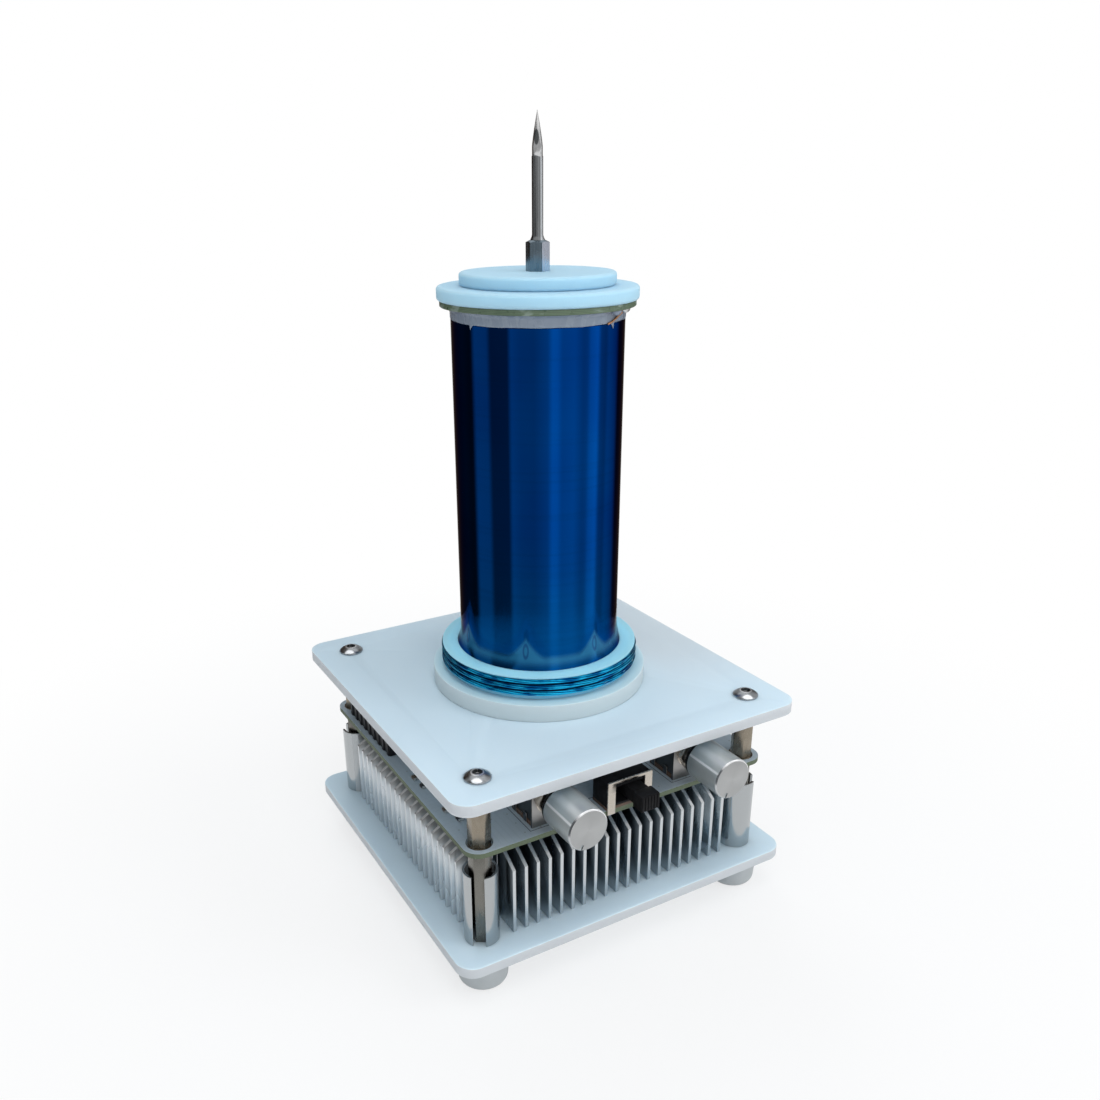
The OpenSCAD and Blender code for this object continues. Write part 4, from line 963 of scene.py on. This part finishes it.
end_wire_r = 0.32 * MM
bends = ((-72, 0.15, -0.1), (-69, 0.35, 0.2), (-65, 0.45, 0.9), (-61, 0.5, 1.6), (-58, 0.7, 2.3),
         (-56, 1.1, 2.9), (-55, 1.5, 3.45))
shape = wires("copper_end", "NURBS", end_wire_r, 3, [
    [polar(winding_r + out * MM, math.radians(angle), band_low + up * MM) for angle, out, up in bends]])
for vert in shape.verts:
    vert.co.z = min(vert.co.z, band_high)
piece("winding_end", shape, [copper], replaces=["top_lead"], crease=60)

solder_at = (winding_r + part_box("top_board")[1].x) / 2
for name, finish, slot, radius, degrees, squash in (
        ("solder_blob", tin, "copper_wire", 1.5 * MM, -56.0, 0.8),
        ("glue_blob", glue, "green_board", 1.45 * MM, -67.0, 1.0)):
    shape = bmesh.new()
    bead = bmesh.ops.create_uvsphere(shape, u_segments=32, v_segments=16, radius=radius)["verts"]
    bmesh.ops.scale(shape, vec=(0.95, 1.3, squash), verts=bead)
    bmesh.ops.bisect_plane(shape, geom=shape.verts[:] + shape.edges[:] + shape.faces[:], plane_co=(0, 0, 0),
                           plane_no=(0, 0, 1), clear_outer=True)
    bmesh.ops.holes_fill(shape, edges=shape.edges)
    swing(shape, shape.verts, degrees, "Z", polar(solder_at, math.radians(degrees), band_high))
    piece(name, shape, [finish], crease=60)

# Cap discs
# Two discs of pale blue acrylic, the smaller on top, with edges rounded by a router.
# They cover the round board and shape the field round the electrode.

cap_acrylic = acrylic("cap_acrylic", (0.40, 0.625, 0.785), (0.40, 0.65, 0.83), depth=8 * MM)
dressed(["cap_lower_disc", "cap_upper_disc"], cap_acrylic)

# Electrode holder and its nut
# A hexagon spacer of turned steel stands on the cap, chamfered where the needle goes in.
# Its stud passes the discs and the round board, and a nut clamps them from below.

turned_steel = Finish("turned_steel", {"Metallic": 1.0})
mill = turned_steel.noise(0.8 * MM, stretch=(1.0, 1.0, 0.15))
normal = turned_steel.normal()
# Painted highlight: the hexagon faces turned towards -80 degrees are painted bright.
bright_way = polar(1.0, math.radians(-80))
face_highlight = (normal[0] * bright_way.x + normal[1] * bright_way.y).step(0.8, 0.9)
turned_steel.vary(mill, (0.10, 0.15, 0.19), (0.26, 0.32, 0.37), 0.2, 0.38)
turned_steel.cover(face_highlight, (0.58, 0.62, 0.72))
turned_steel.relief(mill, 0.02 * MM)
softened("electrode_holder", 0.15 * MM, turned_steel, angle=25)
softened("holder_nut", 0.2 * MM, screw_steel)

# Needle electrode
# A thick drawn steel needle, pressed into the holder, with a long point.
# A flat is ground on one side below the point and the metal is bright above the shank. The dark oval on the
# flat is a painted reflection, and the bright strip beside it and the brighter tip are painted highlights.

low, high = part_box("needle_electrode")
holder_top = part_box("electrode_holder")[1].z
needle_l = high.z - holder_top
shank_top = holder_top + needle_l * 0.655
needle_steel = Finish("needle_steel", {"Metallic": 1.0})
x, y, z = needle_steel.place()
streak = needle_steel.noise(0.45 * MM, stretch=(1.0, 1.0, 0.04), detail=4.0)
ground_way = polar(1.0, math.radians(-120.5))
facing = x * ground_way.x + y * ground_way.y > 0.0
lateral = y * ground_way.x - x * ground_way.y
oval_at, oval_down, oval_half_w, oval_half_h = -0.25 * MM, 6.7 * MM, 0.75 * MM, 2.1 * MM
oval = ((lateral - oval_at) / oval_half_w).hypot((z - high.z + oval_down) / oval_half_h)
# Painted light on the side towards -120.5 degrees: a dark reflection on the flat, a highlight strip beside
# it, and a highlight at the tip over the point's own bright steel.
dark_reflection = oval.step(0.8, 1.05, 1.0, 0.0) * facing
highlight_strip = lateral.step(0.75 * MM, 1.0 * MM) * facing
bright = (z + lateral * 0.35).step(shank_top - 0.1 * MM, shank_top + 0.1 * MM)
point_steel_and_tip_highlight = streak.mix((0.50, 0.51, 0.52), (0.68, 0.685, 0.69))
point_steel_and_tip_highlight = z.step(high.z - 6 * MM, high.z - 3 * MM).mix(point_steel_and_tip_highlight, (0.82, 0.82, 0.82))
needle_steel.vary(streak, (0.11, 0.12, 0.125), (0.30, 0.31, 0.32))
needle_steel.cover(highlight_strip, (0.62, 0.65, 0.68))
needle_steel.cover(bright, point_steel_and_tip_highlight)
needle_steel.cover(dark_reflection, (0.13, 0.14, 0.145))
needle_steel.give("Roughness", streak.step(0.3, 0.7, 0.18, 0.34) - bright * 0.06)
needle_steel.relief(streak, 0.015 * MM)

needle_r, step_r, ogive_power, rows = 1.6 * MM, 1.48 * MM, 1.25, 16
point_z = high.z - needle_l * 0.275
ogive = [(step_r * (1 - (row / rows) ** ogive_power), point_z + (high.z - point_z) * row / rows)
         for row in range(1, rows)]
shape = bmesh.new()
turned(shape, (0, 0), [
    (0, low.z), (needle_r, low.z), (needle_r, holder_top), (2.1 * MM, holder_top),
    (2.0 * MM, holder_top + 0.3 * MM), (1.75 * MM, holder_top + 0.8 * MM), (needle_r, holder_top + 1.4 * MM),
    (needle_r, shank_top - 0.15 * MM), (step_r, shank_top + 0.1 * MM), (step_r, point_z), *ogive,
    (0.05 * MM, high.z - 0.02 * MM), (0, high.z)], sides=48)
flat_low, flat_high = high.z - needle_l * 0.3105, high.z - needle_l * 0.138
for cut_z in (flat_low, flat_high):
    bmesh.ops.bisect_plane(shape, geom=shape.verts[:] + shape.edges[:] + shape.faces[:],
                           plane_co=(0, 0, cut_z), plane_no=(0, 0, 1))
flat_way = polar(1.0, math.radians(-120))
flat_at = needle_r * 0.62
for vert in shape.verts:
    if flat_low - 0.01 * MM <= vert.co.z <= flat_high + 0.01 * MM and vert.co.dot(flat_way) > flat_at:
        vert.co -= flat_way * (vert.co.dot(flat_way) - flat_at)
piece("needle", shape, [needle_steel], replaces=["needle_electrode"], crease=28)

# Floor, studio and camera
# A plain pale floor under soft lamps, and a tent of grey bands round the set that only reflections see.
# The camera stands where the picture of the object was taken from.


def seen_directly(finish):
    """1 for the rays that come from the camera, from a mirror or through glass."""
    rays = finish.node("LightPath", {}).socket.node.outputs
    camera, glossy, through = (Value(finish, rays[f"Is {kind} Ray"]) for kind in
                               ("Camera", "Glossy", "Transmission"))
    return camera.either(glossy).either(through)


def show(finish, surface, output="Material Output"):
    """Makes a shader the surface of a material or of the world."""
    finish.tree.links.new(surface.socket, finish.tree.nodes[output].inputs["Surface"])


white = (1.0, 1.0, 1.0)
floor = Finish("floor", {"Roughness": 1.0, "Base Color": (0.86, 0.87, 0.88), "Specular IOR Level": 0.0})
fade_start, fade_end, floor_half = 0.1, 0.3, 6.0
fade = floor.distance().step(fade_start, fade_end, 0.7, 1.0)
lit = Value(floor, floor.shader.outputs[0])
glow = floor.node("Emission", {"Color": white, "Strength": 1.0})
show(floor, floor.node("MixShader", {0: seen_directly(floor) * fade, 1: lit, 2: glow}))
shape = bmesh.new()
bmesh.ops.create_grid(shape, x_segments=1, y_segments=1, size=floor_half)
made_object("floor", shape, [floor])

tent_r, tent_h, tent_low = 0.21, 0.34, 0.001
camera_angle = -120.5
brightness = {-180: 0.42, -166: 0.4, -152: 0.09, -112: 0.07, -98: 0.04, -93: 0.05, -86: 0.46, -67: 0.43,
              -61: 0.12, -38: 0.13, -33: 0.55, -22: 0.45, -5: 0.42, 12: 0.62, 18: 1.15, 24: 1.1, 30: 0.75,
              46: 0.85, 58: 0.55, 64: 0.6, 69: 1.0, 80: 1.25, 86: 0.5, 95: 0.4, 101: 0.62, 107: 0.6,
              118: 0.5, 127: 0.07, 152: 0.08, 166: 0.4, 180: 0.42}
dark_tint = (1.0, 0.75, 0.6)
tent = Finish("tent", {"Base Color": (0.0, 0.0, 0.0)})
x, y, z = tent.place()
turn = (y.maths("ARCTAN2", x) / (2 * math.pi) + (0.5 - camera_angle / 360)).maths("FRACT")
stops = [(degrees / 360 + 0.5, [level * share for share in (white if level > 0.1 else dark_tint)])
         for degrees, level in brightness.items()]
bands = tent.node("ValToRGB", {0: turn}, stops=stops)
show(tent, tent.node("Emission", {"Color": bands, "Strength": 1.0}))
shape = bmesh.new()
bmesh.ops.create_cone(shape, cap_ends=False, segments=96, radius1=tent_r, radius2=tent_r, depth=tent_h)
bmesh.ops.translate(shape, vec=(0, 0, tent_low + tent_h / 2), verts=shape.verts)
hung = made_object("tent", shape, [tent])
hung.visible_camera = hung.visible_diffuse = hung.visible_shadow = hung.visible_volume_scatter = False
hung.visible_transmission = False

studio = Finish("studio", {"Color": (0.93, 0.97, 1.0), "Strength": 0.55}, bpy.data.worlds, "Background")
soft = Value(studio, studio.shader.outputs[0])
plain = studio.node("Background", {"Color": white})
show(studio, studio.node("MixShader", {0: seen_directly(studio), 1: soft, 2: plain}), "World Output")
bpy.context.scene.world = studio.block

aim = Vector((0, 0, 0.08))
lamps = (("key", (0.75, -0.75, 0.9), 0.6, 3.6), ("front", (-0.25, -1.1, 0.5), 0.7, 3.4),
         ("back", (0.2, 0.9, 0.9), 0.6, 2.6), ("top", (-0.15, -0.3, 1.3), 0.8, 4.8))
for name, place, size, power in lamps:
    lamp = bpy.data.lights.new(name, "AREA")
    lamp.shape, lamp.size, lamp.energy = "SQUARE", size, power
    made = bpy.data.objects.new(name, lamp)
    made.location = place
    made.visible_glossy = False
    made.rotation_euler = (aim - Vector(place)).to_track_quat("-Z", "Y").to_euler()
    bpy.context.scene.collection.objects.link(made)

azimuth, elevation, roll = (math.radians(angle) for angle in (29.5912, 23.1354, -0.5138))
focal_px, centre_px, image_px = 1018.03, (523.39, 616.77), 1100
ahead = Vector((math.sin(azimuth) * math.cos(elevation), math.cos(azimuth) * math.cos(elevation),
                -math.sin(elevation)))
right = ahead.cross(Vector((0, 0, 1))).normalized()
up = right.cross(ahead)
right, up = (math.cos(roll) * right + math.sin(roll) * up, math.cos(roll) * up - math.sin(roll) * right)
camera = bpy.data.cameras.new("camera")
camera.sensor_width = 36.0
camera.lens = focal_px / image_px * camera.sensor_width
camera.shift_x = (image_px / 2 - centre_px[0]) / image_px
camera.shift_y = (centre_px[1] - image_px / 2) / image_px
camera.clip_start = 0.01
standing = bpy.data.objects.new("camera", camera)
standing.matrix_world = Matrix((right, up, -ahead)).transposed().to_4x4()
standing.location = (-0.1554, -0.2636, 0.2204)
bpy.context.scene.collection.objects.link(standing)
bpy.context.scene.camera = standing
bpy.context.scene.view_settings.view_transform = "Standard"
